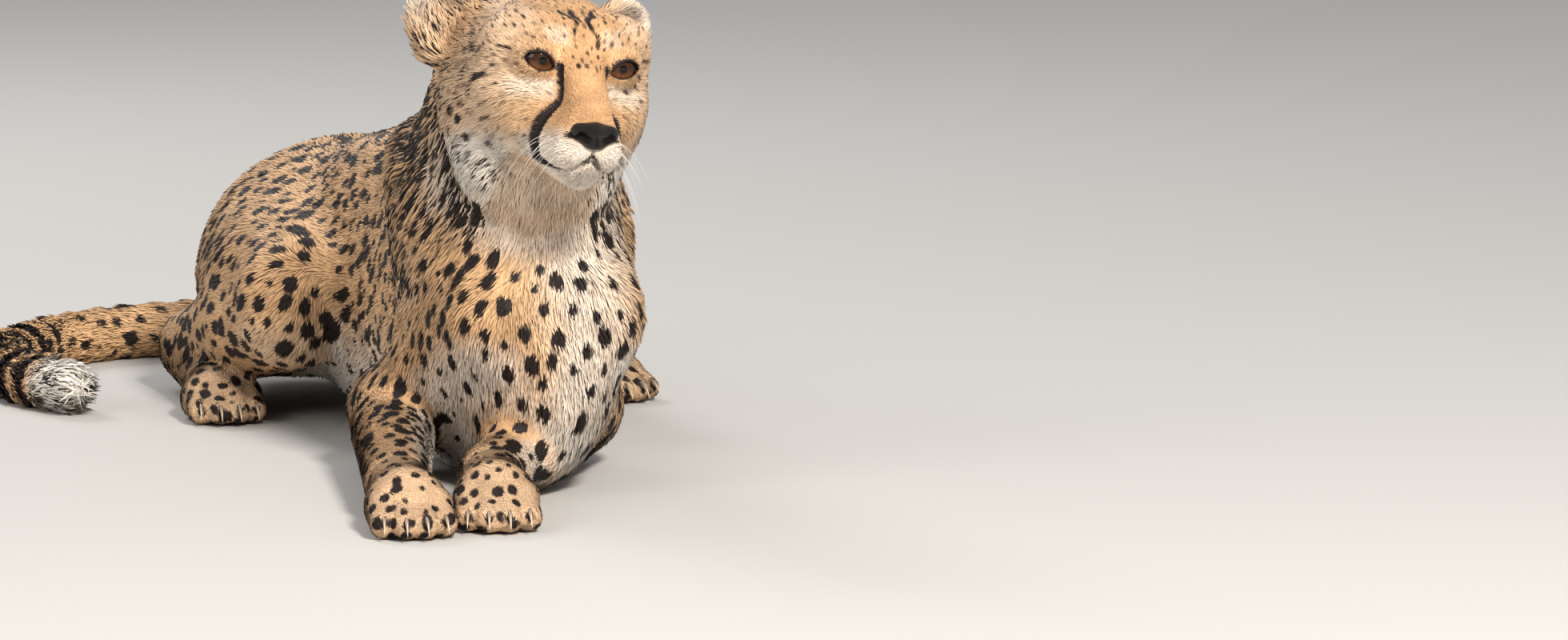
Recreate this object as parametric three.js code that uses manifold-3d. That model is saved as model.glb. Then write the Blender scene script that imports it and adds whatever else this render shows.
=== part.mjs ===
// An adult cheetah (Acinonyx jubatus) lying on its breast with the head raised, life-size, in millimetres.
// +Z is up, the floor is Z = 0, the animal faces -Y and its own left side is +X.
//
// Every sub-part is a closed solid whose surface is the outer tip of the coat.  A part is described by a few
// round masses that melt into one another, and its mesh is spun round an axis that runs through them.
import * as THREE from 'three';
import * as BufferGeometryUtils from 'three/addons/utils/BufferGeometryUtils.js';
import Module from 'manifold-3d';

// ---------------------------------------------------------------- driving dimensions
const GAP = 0.4;                    // clearance between neighbouring sub-parts
const WITHERS = 252;                // height of the shoulder blades' tops
const CROUP = 194;                  // height of the rump
const BODY_LENGTH = 770;            // breast to the root of the tail
const CHEST_HALF = 74;              // half-width of the rib cage
const UPPER_ARM_LOW = 50;           // height of the elbows
const FOREARM = 236;                // elbow to wrist
const FORE_PAW = 122;               // wrist to toe tips
const HIND_FOOT = 226;              // heel to toe tips
const TAIL_RADIUS = 25;             // at the root
const EYE_SPACING = 57;             // between the centres of the eyeballs
const EYE_RADIUS = 15.5;
const EAR_HEIGHT = 50;
const EAR_APART = { left: 43, right: 55 };      // each ear's root from the middle of the head
const CLAW_LENGTH = 15;
const BREAST_FRONT = -128;          // Y of the foremost point of the breast
const TAIL_ROOT = BREAST_FRONT + BODY_LENGTH;

// The head's own frame: its origin lies midway between the fronts of the eyes.
const HEAD_AT = [5.2, -165.6, 311.5];
const HEAD_YAW = 0.055;             // radians, a little towards the animal's left
const HEAD_ROLL = 0.13;             // the left eye is the lower one

const FLESH_ROUGHNESS = 0.9;
const COLOURS = {
  coat: 0xd9b183,
  dark: 0x2a2320,
  eye: 0x7a4a1e,
  nose: 0x241d1b,
  claw: 0xb9a88c,
};

// ---------------------------------------------------------------- points and fields
const at = (x, y, z) => new THREE.Vector3(x, y, z);

const headMatrix = new THREE.Matrix4()
  .makeRotationFromEuler(new THREE.Euler(0, HEAD_ROLL, HEAD_YAW, 'ZXY'))
  .setPosition(...HEAD_AT);

// A point given in the head's own frame.
const onHead = (x, y, z) => at(x, y, z).applyMatrix4(headMatrix);

const headTurn = new THREE.Quaternion().setFromRotationMatrix(headMatrix);

// Signed distance to a limb that tapers from radius ra at a to radius rb at b.
function taper(a, b, ra, rb) {
  const axis = b.clone().sub(a);
  const length2 = axis.lengthSq();
  const drop = ra - rb;
  const a2 = length2 - drop * drop;
  return (p) => {
    const pa = p.clone().sub(a);
    const y = pa.dot(axis);
    const z = y - length2;
    const x2 = pa.clone().multiplyScalar(length2).sub(axis.clone().multiplyScalar(y)).lengthSq();
    const y2 = y * y * length2;
    const z2 = z * z * length2;
    const k = Math.sign(drop) * drop * drop * x2;
    if (Math.sign(z) * a2 * z2 > k) return Math.sqrt(x2 + z2) / length2 - rb;
    if (Math.sign(y) * a2 * y2 < k) return Math.sqrt(x2 + y2) / length2 - ra;
    return (Math.sqrt(x2 * a2 / length2) + y * drop) / length2 - ra;
  };
}

// Signed distance, near enough, to an ellipsoid with half-sizes size, turned by a quaternion.
function mass(centre, size, turn = new THREE.Quaternion()) {
  const back = turn.clone().invert();
  return (p) => {
    const q = p.clone().sub(centre).applyQuaternion(back);
    const k0 = Math.hypot(q.x / size[0], q.y / size[1], q.z / size[2]);
    const k1 = Math.hypot(q.x / size[0] ** 2, q.y / size[1] ** 2, q.z / size[2] ** 2);
    return k1 === 0 ? -Math.min(...size) : k0 * (k0 - 1) / k1;
  };
}

const headMass = (x, y, z, size) => mass(onHead(x, y, z), size, headTurn);

const headTaper = (a, b, ra, rb) => taper(onHead(...a), onHead(...b), ra, rb);

// One field from several masses that melt together over a width of melt.
function melt(width, ...fields) {
  return (p) => fields.map((field) => field(p)).reduce((a, b) => {
    const h = Math.max(width - Math.abs(a - b), 0) / width;
    return Math.min(a, b) - h * h * width / 4;
  });
}

const bothSides = (make) => [-1, 1].map(make);

// ---------------------------------------------------------------- meshes from fields
// How far a ray from a point inside the field reaches before it leaves it.
function reach(field, from, direction, longest) {
  const step = 4;
  let near = 0;
  let far = step;
  while (far < longest && field(from.clone().addScaledVector(direction, far)) < 0) {
    near = far;
    far += step;
  }
  for (let i = 0; i < 14; i += 1) {
    const middle = (near + far) / 2;
    if (field(from.clone().addScaledVector(direction, middle)) < 0) near = middle;
    else far = middle;
  }
  return near;
}

// A closed mesh spun round the axis: rings of rays along it, then fans of rays that round off both ends.
function spun({ axis, field, sides, rings, fans = 3, up = at(0, 0, 1), grow = 0, longest = 400 }) {
  const curve = new THREE.CatmullRomCurve3(axis);
  const positions = [];
  const addRing = (centre, tangent, lean) => {
    const side = new THREE.Vector3().crossVectors(tangent, up).normalize();
    const top = new THREE.Vector3().crossVectors(side, tangent).normalize();
    for (let i = 0; i < sides; i += 1) {
      const angle = (i + 0.5) / sides * 2 * Math.PI;
      const direction = side.clone().multiplyScalar(Math.cos(angle) * Math.cos(lean))
        .addScaledVector(top, Math.sin(angle) * Math.cos(lean))
        .addScaledVector(tangent, Math.sin(lean));
      const away = reach(field, centre, direction, longest) + grow;
      positions.push(...centre.clone().addScaledVector(direction, away).toArray());
    }
  };
  const addPole = (centre, tangent, sign) => {
    const direction = tangent.clone().multiplyScalar(sign);
    const point = centre.clone().addScaledVector(direction, reach(field, centre, direction, longest) + grow);
    positions.push(...point.toArray());
  };
  const start = curve.getPointAt(0);
  const end = curve.getPointAt(1);
  const first = curve.getTangentAt(0);
  const last = curve.getTangentAt(1);
  addPole(start, first, -1);
  for (let i = fans; i > 0; i -= 1) addRing(start, first, -i / (fans + 1) * Math.PI / 2);
  for (let i = 0; i < rings; i += 1) {
    const t = i / (rings - 1);
    addRing(curve.getPointAt(t), curve.getTangentAt(t), 0);
  }
  for (let i = 1; i <= fans; i += 1) addRing(end, last, i / (fans + 1) * Math.PI / 2);
  addPole(end, last, 1);

  const loops = rings + 2 * fans;
  const index = [];
  for (let i = 0; i < sides; i += 1) {
    const next = (i + 1) % sides;
    index.push(0, 1 + i, 1 + next);
    for (let loop = 0; loop < loops - 1; loop += 1) {
      const a = 1 + loop * sides;
      const b = a + sides;
      index.push(a + i, b + i, a + next, a + next, b + i, b + next);
    }
    const lastLoop = 1 + (loops - 1) * sides;
    index.push(lastLoop + i, 1 + loops * sides, lastLoop + next);
  }
  const geometry = new THREE.BufferGeometry();
  geometry.setAttribute('position', new THREE.Float32BufferAttribute(positions, 3));
  geometry.setIndex(index);
  return geometry;
}

// ---------------------------------------------------------------- solids
const wasm = await Module();
wasm.setup();

function solid(geometry) {
  const bare = geometry.clone();
  bare.deleteAttribute('normal');
  bare.deleteAttribute('uv');
  const merged = BufferGeometryUtils.mergeVertices(bare, 1e-4);
  return new wasm.Manifold(new wasm.Mesh({
    numProp: 3,
    vertProperties: new Float32Array(merged.attributes.position.array),
    triVerts: new Uint32Array(merged.index.array),
  }));
}

function geometryOf(body) {
  const mesh = body.getMesh();
  const geometry = new THREE.BufferGeometry();
  geometry.setAttribute('position', new THREE.BufferAttribute(new Float32Array(mesh.vertProperties), 3));
  geometry.setIndex(new THREE.BufferAttribute(new Uint32Array(mesh.triVerts), 1));
  return geometry;
}

// A box so large that it takes away everything on one side of a plane.
function sideOf(point, normal, offset) {
  const size = 3000;
  const turn = new THREE.Quaternion().setFromUnitVectors(at(0, 0, 1), normal.clone().normalize());
  const geometry = new THREE.BoxGeometry(size, size, size);
  geometry.translate(0, 0, size / 2 + offset);
  geometry.applyQuaternion(turn);
  geometry.translate(...point.toArray());
  return solid(geometry);
}

const belowFloor = sideOf(at(0, 0, 0), at(0, 0, -1), 0);

// A body parted by a plane: what lies behind it and what lies beyond it, half a gap clear on each side.
function parted(body, point, normal) {
  const beyond = body.subtract(sideOf(point, normal.clone().negate(), -GAP / 2));
  const behind = body.subtract(sideOf(point, normal, -GAP / 2));
  return [behind, beyond];
}

// A part as the solid itself and as the slightly larger one that clears its neighbours away.
const part = (make) => ({ own: make(0), clear: make(GAP) });

const spunPart = (shape) => part((grow) => solid(spun({ ...shape, grow })));

const joined = (parts) => ({
  own: parts.map((piece) => piece.own).reduce((a, b) => a.add(b)),
  clear: parts.map((piece) => piece.clear).reduce((a, b) => a.add(b)),
});

const group = new THREE.Group();
const settled = [];

// What is left of a body once it has given way to every part settled before it: its largest piece.
function giveWay(body) {
  const cut = settled.reduce((rest, other) => rest.subtract(other), body.subtract(belowFloor));
  return cut.decompose().reduce((a, b) => (b.volume() > a.volume() ? b : a));
}

function addNode(name, body, colour, roughness) {
  const material = new THREE.MeshStandardMaterial({ color: colour, roughness, metalness: 0 });
  const mesh = new THREE.Mesh(geometryOf(body), material);
  mesh.name = name;
  group.add(mesh);
}

function settle(name, shape, colour = COLOURS.coat, roughness = FLESH_ROUGHNESS) {
  addNode(name, giveWay(shape.own), colour, roughness);
  settled.push(shape.clear);
}

// A long part in several lengths, each cut from the rest by a plane across it.
function settleLengths(names, shape, cuts) {
  let rest = giveWay(shape.own);
  names.forEach((name, i) => {
    if (i === names.length - 1) {
      addNode(name, rest, COLOURS.coat, FLESH_ROUGHNESS);
      return;
    }
    const [piece, remainder] = parted(rest, cuts[i].point, cuts[i].normal);
    addNode(name, piece, COLOURS.coat, FLESH_ROUGHNESS);
    rest = remainder;
  });
  settled.push(shape.clear);
}

// ---------------------------------------------------------------- trunk and neck
const shoulderJoint = (side) => at(side * 31, BREAST_FRONT + 46, 128);
const bladeTop = (side) => at(side * 50, 62, WITHERS - 30);
const hipJoint = (side) => at(side * 46, TAIL_ROOT - 122, CROUP - 84);

const blades = bothSides((side) => taper(shoulderJoint(side), bladeTop(side), 33, 29));

const back = melt(3,
  taper(at(0, 60, 194), at(0, 280, 184), 44, 46),
  taper(at(0, 280, 184), at(0, TAIL_ROOT - 130, CROUP - 54), 46, 50),
);

const torsoField = melt(34,
  mass(at(0, 86, 112), [CHEST_HALF, 200, 124]),
  mass(at(0, BREAST_FRONT + 70, 96), [54, 70, 84]),
  back,
  mass(at(0, 330, 99), [74, 200, 103]),
  mass(at(0, TAIL_ROOT - 120, CROUP - 92), [84, 126, 90]),
  ...blades,
);

const torso = spunPart({
  axis: [at(0, BREAST_FRONT + 84, 112), at(0, 100, 130), at(0, 320, 116), at(0, TAIL_ROOT - 92, 100)],
  field: torsoField,
  sides: 16,
  rings: 8,
  fans: 2,
});

const neckField = melt(34,
  taper(at(0, 12, 172), onHead(0, 106, -30), 76, 60),
  taper(at(-4, 62, 194), onHead(-10, 114, -16), 66, 50),
  taper(at(0, -54, 142), onHead(0, 88, -52), 48, 38),
);

const neck = spunPart({
  axis: [onHead(0, 100, -30), at(-2, -40, 232), at(0, 6, 166)],
  field: neckField,
  sides: 12,
  rings: 4,
  fans: 1,
});

// ---------------------------------------------------------------- head
const headField = melt(16,
  headMass(0, 77, -3, [61, 75, 46]),
  headTaper([0, 96, -20], [0, 66, -26], 58, 48),
  headTaper([0, 12, 2], [0, -32, -31], 17, 13),
  headTaper([0, 26, -38], [0, -22, -48], 28, 18),
  headTaper([0, -22, -72], [0, 40, -58], 12, 22),
  ...bothSides((side) => headMass(side * 31.5, 58, -26, [34, 54, 38])),
  ...bothSides((side) => headTaper([side * 16, 18, 14], [side * 38, 38, 12], 14, 21)),
  ...bothSides((side) => headTaper([side * 10, -30, -57], [side * 13, -4, -56], 13.5, 15.5)),
  ...bothSides((side) => headTaper([side * 21, 26, -42], [side * 34, 66, -48], 22, 27)),
  ...bothSides((side) => headTaper([side * 38, 82, -42], [side * 26, 76, -76], 28, 24)),
  ...bothSides((side) => headTaper([side * 26, 76, -76], [side * 4, 72, -94], 24, 18)),
);

const head = spunPart({
  axis: [onHead(0, 96, -14), onHead(0, 60, -24), onHead(0, 10, -38), onHead(0, -22, -48)],
  field: headField,
  sides: 18,
  rings: 9,
  fans: 2,
});

const noseField = melt(8,
  headMass(0, -43, -43.5, [17, 12, 7]),
  headMass(0, -44, -48, [9, 11, 10]),
);

const nose = spunPart({
  axis: [onHead(0, -36, -44), onHead(0, -42, -45)],
  field: noseField,
  sides: 12,
  rings: 2,
  fans: 2,
});

function eyeball(side, radius) {
  const geometry = new THREE.SphereGeometry(radius, 12, 7);
  geometry.translate(...onHead(side * EYE_SPACING / 2, EYE_RADIUS - 1, 0).toArray());
  return solid(geometry);
}

const sideName = (side) => (side > 0 ? 'left' : 'right');

// A rounded ear: a cup of even thickness, hollow towards the front and the outside.
function ear(side, grow) {
  const apart = EAR_APART[sideName(side)];
  const root = onHead(side * apart, 106, -3);
  const rise = onHead(side * (apart + 27), 110, 34).sub(root).normalize();
  const facing = onHead(side * 76, 56, 2).sub(root);
  facing.addScaledVector(rise, -facing.dot(rise)).normalize();
  const across = new THREE.Vector3().crossVectors(rise, facing).normalize();
  const frame = new THREE.Matrix4().makeBasis(across, facing, rise).setPosition(root);
  const turn = new THREE.Quaternion().setFromRotationMatrix(frame);
  const place = (x, y, z) => at(x, y, z).applyMatrix4(frame);
  const shell = melt(10,
    mass(place(0, 0, EAR_HEIGHT - 27), [27, 12, 27], turn),
    mass(place(0, -3, 4), [26, 18, 22], turn),
  );
  const body = solid(spun({
    axis: [place(0, 0, 0), place(0, 0, EAR_HEIGHT * 0.6)],
    field: shell,
    sides: 11,
    rings: 3,
    fans: 2,
    up: facing,
    grow,
  }));
  if (grow > 0) return body;
  const hollow = solid(spun({
    axis: [place(0, 12, 16), place(0, 12, 30)],
    field: mass(place(0, 14, 24), [21, 15, 23], turn),
    sides: 10,
    rings: 2,
    fans: 2,
    up: facing,
  }));
  return body.subtract(hollow);
}

// ---------------------------------------------------------------- tail
// The tail comes off the rump, drops to the floor and lies round the right haunch.
const tailRoute = [
  [0, -40, 108], [-2, 22, 76], [-16, 76, 36], [-60, 112, 23], [-128, 112, 20],
  [-192, 76, 19], [-236, 18, 19], [-258, -52, 19], [-258, -128, 19], [-240, -198, 20],
].map(([x, behind, z]) => at(x, TAIL_ROOT + behind, z));
const tailCurve = new THREE.CatmullRomCurve3(tailRoute);
const tailThins = (t) => 4 * Math.sin(Math.min(t, 0.8) / 0.8 * Math.PI / 2);
const tailRadius = (t) => TAIL_RADIUS - tailThins(t) + 3 * Math.max(t - 0.8, 0);

function tailField() {
  const joints = 24;
  const limbs = [];
  for (let i = 0; i < joints; i += 1) {
    const t = i / joints;
    const next = (i + 1) / joints;
    const [start, end] = [tailCurve.getPointAt(t), tailCurve.getPointAt(next)];
    limbs.push(taper(start, end, tailRadius(t), tailRadius(next) - 0.1));
  }
  return melt(4, ...limbs);
}

const tail = spunPart({ axis: tailRoute, field: tailField(), sides: 8, rings: 18, fans: 2, longest: 60 });

// ---------------------------------------------------------------- legs
const ELBOW = { right: at(-74, 74, UPPER_ARM_LOW), left: at(60, 62, UPPER_ARM_LOW) };
const FOREARM_TURN = { right: -0.22, left: -0.51 };     // radians from straight ahead, minus is to the right
const FORE_PAW_TURN = { right: -0.12, left: -0.2 };
const STIFLE = { right: at(-94, 306, 102), left: at(110, 300, 104) };
const HEEL = { right: at(-120, 548, 42), left: at(132, 584, 42) };
const HIND_PAW_TURN = { right: -0.08, left: 0.24 };

const SIDES = { left: 1, right: -1 };
const ahead = (turn) => at(Math.sin(turn), -Math.cos(turn), 0);

// A paw lying flat: four toes fanned over one pad.  It returns the paw's masses, axis and claws.
function pawShape(wrist, turn, length, wide) {
  const forward = ahead(turn);
  const across = at(forward.y * -1, forward.x, 0);
  const place = (x, y, z) => wrist.clone().setZ(0).addScaledVector(across, x)
    .addScaledVector(forward, y).add(at(0, 0, z));
  const toes = [-1.5, -0.5, 0.5, 1.5].map((i) => {
    const tip = length - 13 - Math.abs(i) ** 2 * 4.5;
    const x = i * wide / 4.4;
    return {
      knuckle: place(x * 0.94, tip - 26, 20),
      tip: place(x * 1.08, tip, 10),
      direction: forward.clone().addScaledVector(across, i * 0.06).normalize(),
    };
  });
  return { forward, across, place, toes };
}

function toeSolid(toe, grow) {
  return solid(spun({
    axis: [toe.knuckle.clone().addScaledVector(toe.direction, -6), toe.tip],
    field: melt(8,
      taper(toe.knuckle.clone().addScaledVector(toe.direction, -16).setZ(18), toe.knuckle, 10, 11.5),
      taper(toe.knuckle, toe.tip, 11.5, 10.5),
    ),
    sides: 6,
    rings: 2,
    fans: 1,
    grow,
  }));
}

// A claw: a curved horn that tapers to a point, out of the top of its toe.
function claw(toe, length, grow) {
  const thick = 2.6;
  const root = toe.tip.clone().addScaledVector(toe.direction, 6).setZ(14);
  const curve = new THREE.QuadraticBezierCurve3(
    root,
    root.clone().addScaledVector(toe.direction, length * 0.62),
    root.clone().addScaledVector(toe.direction, length * 0.92).setZ(root.z - 9),
  );
  return solid(spun({
    axis: curve.getPoints(4),
    field: melt(0.5, ...[0, 1, 2, 3].map((i) => taper(
      curve.getPoint(i / 4), curve.getPoint((i + 1) / 4), thick * (1 - i / 5), thick * (1 - (i + 1) / 5)))),
    sides: 4,
    rings: 3,
    fans: 0,
    longest: 8,
    grow,
  }));
}

function upperArm(side) {
  const joint = shoulderJoint(SIDES[side]);
  const elbow = ELBOW[side];
  const muscle = joint.clone().lerp(elbow, 0.5).add(at(-14 * SIDES[side], 22, 44));
  return spunPart({
    axis: [joint, joint.clone().lerp(elbow, 0.5), elbow],
    field: melt(26, taper(joint, elbow, 30, 29), mass(muscle, [33, 80, 68])),
    sides: 11,
    rings: 4,
    fans: 1,
  });
}

function forearm(side) {
  const elbow = ELBOW[side].clone().setZ(38);
  const wrist = elbow.clone().addScaledVector(ahead(FOREARM_TURN[side]), FOREARM).setZ(25);
  const belly = elbow.clone().lerp(wrist, 0.22);
  return {
    wrist,
    ...spunPart({
      axis: [elbow, elbow.clone().lerp(wrist, 0.5), wrist],
      field: melt(2, taper(elbow, belly, 30, 31), taper(belly, wrist, 31, 24)),
      sides: 10,
      rings: 4,
      fans: 1,
    }),
  };
}

function forePaw(wrist, turn) {
  const shape = pawShape(wrist, turn, FORE_PAW, 55);
  const { place } = shape;
  const hand = spunPart({
    axis: [place(0, 8, 22), place(0, 62, 21)],
    field: melt(16,
      taper(place(0, 0, 24.5), place(0, 54, 21), 23.4, 23),
      mass(place(0, 62, 14), [28, 34, 23]),
    ),
    sides: 8,
    rings: 3,
    fans: 1,
  });
  return { shape, hand };
}

function thigh(side) {
  const hip = hipJoint(SIDES[side]);
  const stifle = STIFLE[side];
  const buttock = hip.clone().add(at(8 * SIDES[side], 62, -34));
  return spunPart({
    axis: [buttock, hip.clone().lerp(stifle, 0.3).setZ(106), stifle],
    field: melt(34,
      taper(hip, stifle, 68, 42),
      taper(buttock, stifle.clone().lerp(buttock, 0.4).setZ(82), 52, 56),
    ),
    sides: 11,
    rings: 5,
    fans: 2,
  });
}

function shank(side) {
  const stifle = STIFLE[side].clone().setZ(84);
  const heel = HEEL[side];
  const calf = stifle.clone().lerp(heel, 0.35);
  return spunPart({
    axis: [stifle, calf, heel],
    field: melt(4, taper(stifle, calf, 40, 40), taper(calf, heel, 40, 21)),
    sides: 9,
    rings: 5,
    fans: 1,
  });
}

function hindPaw(heel, turn) {
  const shape = pawShape(heel, turn, HIND_FOOT, 54);
  const { place } = shape;
  const foot = spunPart({
    axis: [place(0, 0, 30), place(0, 90, 22), place(0, HIND_FOOT - 58, 20)],
    field: melt(14,
      melt(3,
        taper(place(0, -4, 30), place(0, 110, 20), 25, 20),
        taper(place(0, 110, 20), place(0, HIND_FOOT - 64, 18), 20, 23),
      ),
      mass(place(0, HIND_FOOT - 58, 14), [30, 32, 22]),
    ),
    sides: 8,
    rings: 4,
    fans: 1,
  });
  return { shape, hand: foot };
}

// ---------------------------------------------------------------- the whole animal
for (const side of [-1, 1]) {
  const eye = part((grow) => eyeball(side, EYE_RADIUS + grow));
  settle(`eye_${sideName(side)}`, eye, COLOURS.eye, 0.15);
}
settle('nose', nose, COLOURS.nose, 0.45);
settle('head', head);

function settlePaw(name, { shape, hand }) {
  shape.toes.forEach((toe, i) => {
    settle(`claw_${name}_${i + 1}`, part((grow) => claw(toe, CLAW_LENGTH, grow)), COLOURS.claw, 0.4);
  });
  const toes = shape.toes.map((toe) => part((grow) => toeSolid(toe, grow)));
  settle(`paw_${name}`, joined([hand, ...toes]));
}

for (const side of ['right', 'left']) {
  const fore = forearm(side);
  settlePaw(`fore_${side}`, forePaw(fore.wrist, FORE_PAW_TURN[side]));
  settle(`forearm_${side}`, fore);
  settle(`upper_arm_${side}`, upperArm(side));
  settlePaw(`hind_${side}`, hindPaw(HEEL[side], HIND_PAW_TURN[side]));
  settle(`shank_${side}`, shank(side));
  settle(`thigh_${side}`, thigh(side));
}

for (const side of [-1, 1]) {
  settle(`ear_${sideName(side)}`, part((grow) => ear(side, grow)), COLOURS.dark);
}
settle('neck', neck);

const TRUNK_CUTS = [232, 452];      // Y of the planes behind the chest and before the pelvis
settleLengths(['chest', 'loin', 'pelvis'], torso, TRUNK_CUTS.map((y) => ({
  point: at(0, y, 0),
  normal: at(0, 1, 0),
})));

const TAIL_CUTS = [0.36, 0.7];      // shares of the tail's length
settleLengths(['tail_base', 'tail_middle', 'tail_tip'], tail, TAIL_CUTS.map((t) => ({
  point: tailCurve.getPointAt(t),
  normal: tailCurve.getTangentAt(t),
})));

const box = new THREE.Box3().setFromObject(group);
const middle = box.getCenter(at(0, 0, 0));
group.children.forEach((mesh) => mesh.geometry.translate(-middle.x, -middle.y, -box.min.z));

export default group;
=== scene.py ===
"""A life-size cheetah lying on its breast: one skin, its coat of mesh tufts, eyes, nose, claws and whiskers.

The body is a field of round masses (MAIN and LIMBS below) in the animal's own axes: it faces -Y, its left is
+X and the floor is Z = 0.  The skin is the field's surface, sunk by the depth of the coat.  Each mass also
says how the coat lies over it and how long it is, so the tufts follow from the same masses.  Lengths are in
metres, but the masses, routes and markings are given in millimetres.
"""
import math
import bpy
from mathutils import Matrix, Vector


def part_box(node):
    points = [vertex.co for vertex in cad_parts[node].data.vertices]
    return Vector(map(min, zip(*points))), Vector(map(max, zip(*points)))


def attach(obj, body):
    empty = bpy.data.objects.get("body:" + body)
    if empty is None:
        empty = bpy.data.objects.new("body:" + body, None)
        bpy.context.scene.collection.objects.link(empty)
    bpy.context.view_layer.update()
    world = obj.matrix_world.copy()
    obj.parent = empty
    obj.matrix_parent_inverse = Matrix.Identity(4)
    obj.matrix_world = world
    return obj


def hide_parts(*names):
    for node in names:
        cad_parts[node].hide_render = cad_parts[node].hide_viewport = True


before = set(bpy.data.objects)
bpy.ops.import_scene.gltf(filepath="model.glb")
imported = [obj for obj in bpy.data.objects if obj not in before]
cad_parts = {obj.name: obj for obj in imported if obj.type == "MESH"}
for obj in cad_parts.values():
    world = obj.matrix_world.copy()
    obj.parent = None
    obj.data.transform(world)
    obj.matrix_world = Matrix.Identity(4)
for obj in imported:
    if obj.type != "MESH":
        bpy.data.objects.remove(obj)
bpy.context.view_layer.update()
from concurrent.futures import ThreadPoolExecutor

import bpy
import numpy as np
from mathutils import Euler, Matrix, Vector
from mathutils.kdtree import KDTree

MM = 0.001
SEED = 7

# ---------------------------------------------------------------- driving dimensions, as in the solids
WITHERS = 0.252
CROUP = 0.194
CHEST_HALF = 0.074
BREAST_FRONT = -0.128
TAIL_ROOT = BREAST_FRONT + 0.770
FOREARM = 0.236
FORE_PAW = 0.122
HIND_FOOT = 0.226
HEAD_AT = (0.0052, -0.1656, 0.3115)
HEAD_YAW = 0.055
HEAD_ROLL = 0.13
EYE_SPACING = 0.057
EYE_RADIUS = 0.0155
EAR_HEIGHT = 0.050
EAR_APART = {1: 43, -1: 55}      # each ear's root from the middle of the head, in millimetres
CLAW_LENGTH = 0.015

rng = np.random.default_rng(SEED)


def head_matrix():
    return Matrix.Translation(HEAD_AT) @ Euler((0, HEAD_ROLL, HEAD_YAW), "YXZ").to_matrix().to_4x4()


HEAD = np.array(head_matrix())
HEAD_TURN = HEAD[:3, :3]


def on_head(x, y, z):
    """A place given in millimetres in the head's own axes, which start midway between the eyes' fronts."""
    return HEAD[:3, 3] + HEAD_TURN @ (np.array([x, y, z], float) * MM)


def shift_to_frame():
    """The move from the animal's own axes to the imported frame, read off the two eyeballs."""
    centres = []
    for side in ("left", "right"):
        low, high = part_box("eye_" + side)
        centres.append((np.array(low) + np.array(high)) / 2)
    modelled = on_head(0, 0, 0) + HEAD_TURN @ np.array([0, EYE_RADIUS - MM, 0])
    return np.mean(centres, axis=0) - modelled


SHIFT = shift_to_frame()


# ---------------------------------------------------------------- masses and their field
class Mass:
    """A round mass of flesh and coat: an egg, or a taper between two balls.  lie is the coat's direction."""

    def __init__(self, lie, coat, melt, centre=None, size=None, turn=None, a=None, b=None, ra=0.0, rb=0.0):
        self.lie = np.array(lie, float) / np.linalg.norm(lie)
        self.coat = coat * MM
        self.melt = melt * MM
        self.kind = 0
        self.egg = centre is not None
        if self.egg:
            self.centre = np.array(centre, float)
            self.size = np.array(size, float) * MM
            self.turn = np.eye(3) if turn is None else turn
        else:
            self.a = np.array(a, float)
            self.axis = np.array(b, float) - self.a
            self.ra = ra * MM
            self.rb = rb * MM

    def distance(self, points):
        if self.egg:
            q = (points - self.centre) @ self.turn
            k0 = np.linalg.norm(q / self.size, axis=1)
            k1 = np.linalg.norm(q / self.size ** 2, axis=1)
            return k0 * (k0 - 1) / np.maximum(k1, 1e-9)
        pa = points - self.a
        length2 = self.axis @ self.axis
        drop = self.ra - self.rb
        a2 = length2 - drop * drop
        y = pa @ self.axis
        z = y - length2
        across = np.maximum((pa ** 2).sum(axis=1) * length2 - y * y, 0) * length2
        k = np.sign(drop) * drop * drop * across
        far_end = np.sign(z) * a2 * z * z * length2 > k
        near_end = np.sign(y) * a2 * y * y * length2 < k
        side = (np.sqrt(across * a2 / length2) + y * drop) / length2 - self.ra
        beyond = np.sqrt(across + z * z * length2) / length2 - self.rb
        before = np.sqrt(across + y * y * length2) / length2 - self.ra
        return np.where(far_end, beyond, np.where(near_end, before, side))


def egg(centre, size, lie, coat, melt, turn=None):
    return Mass(lie, coat, melt, centre=np.array(centre, float) * MM, size=size, turn=turn)


def taper(a, b, ra, rb, lie, coat, melt):
    return Mass(lie, coat, melt, a=np.array(a, float) * MM, b=np.array(b, float) * MM, ra=ra, rb=rb)


def head_egg(x, y, z, size, lie, coat, melt=16):
    lie = HEAD_TURN @ np.array(lie, float)
    return Mass(lie, coat, melt, centre=on_head(x, y, z), size=size, turn=HEAD_TURN)


def head_taper(a, b, ra, rb, lie, coat, melt=16):
    lie = HEAD_TURN @ np.array(lie, float)
    return Mass(lie, coat, melt, a=on_head(*a), b=on_head(*b), ra=ra, rb=rb)


def soft_min(a, b, width):
    h = np.maximum(width - np.abs(a - b), 0) / width
    return np.minimum(a, b) - h * h * width / 4


def soft_max(a, b, width):
    return -soft_min(-a, -b, width)


def in_mm(point):
    return np.array(point, float) / MM


def close_to(place, points, reach):
    """Which points lie within reach of a place."""
    return np.linalg.norm(points - place, axis=1) < reach


def unit(vectors):
    return vectors / np.maximum(np.linalg.norm(vectors, axis=1, keepdims=True), 1e-9)


def less_along(vectors, ways):
    """Vectors with their share along unit ways taken off."""
    return vectors - ways * (vectors * ways).sum(axis=1, keepdims=True)


KINDS = ("trunk", "neck", "head", "thigh", "leg", "paw", "tail", "ear")


def of_kind(kind, masses):
    for m in masses:
        m.kind = KINDS.index(kind)
    return masses


# ---------------------------------------------------------------- the body's masses, in millimetres
W, C, F, T = WITHERS / MM, CROUP / MM, BREAST_FRONT / MM, TAIL_ROOT / MM
SIDES = {"left": 1, "right": -1}
BACKWARD = (0, 1, -0.12)
FLANK = (0, 1, -0.4)
DOWN = (0, 0.1, -1)


def shoulder_joint(side):
    return np.array([side * 31, F + 46, 128])


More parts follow.
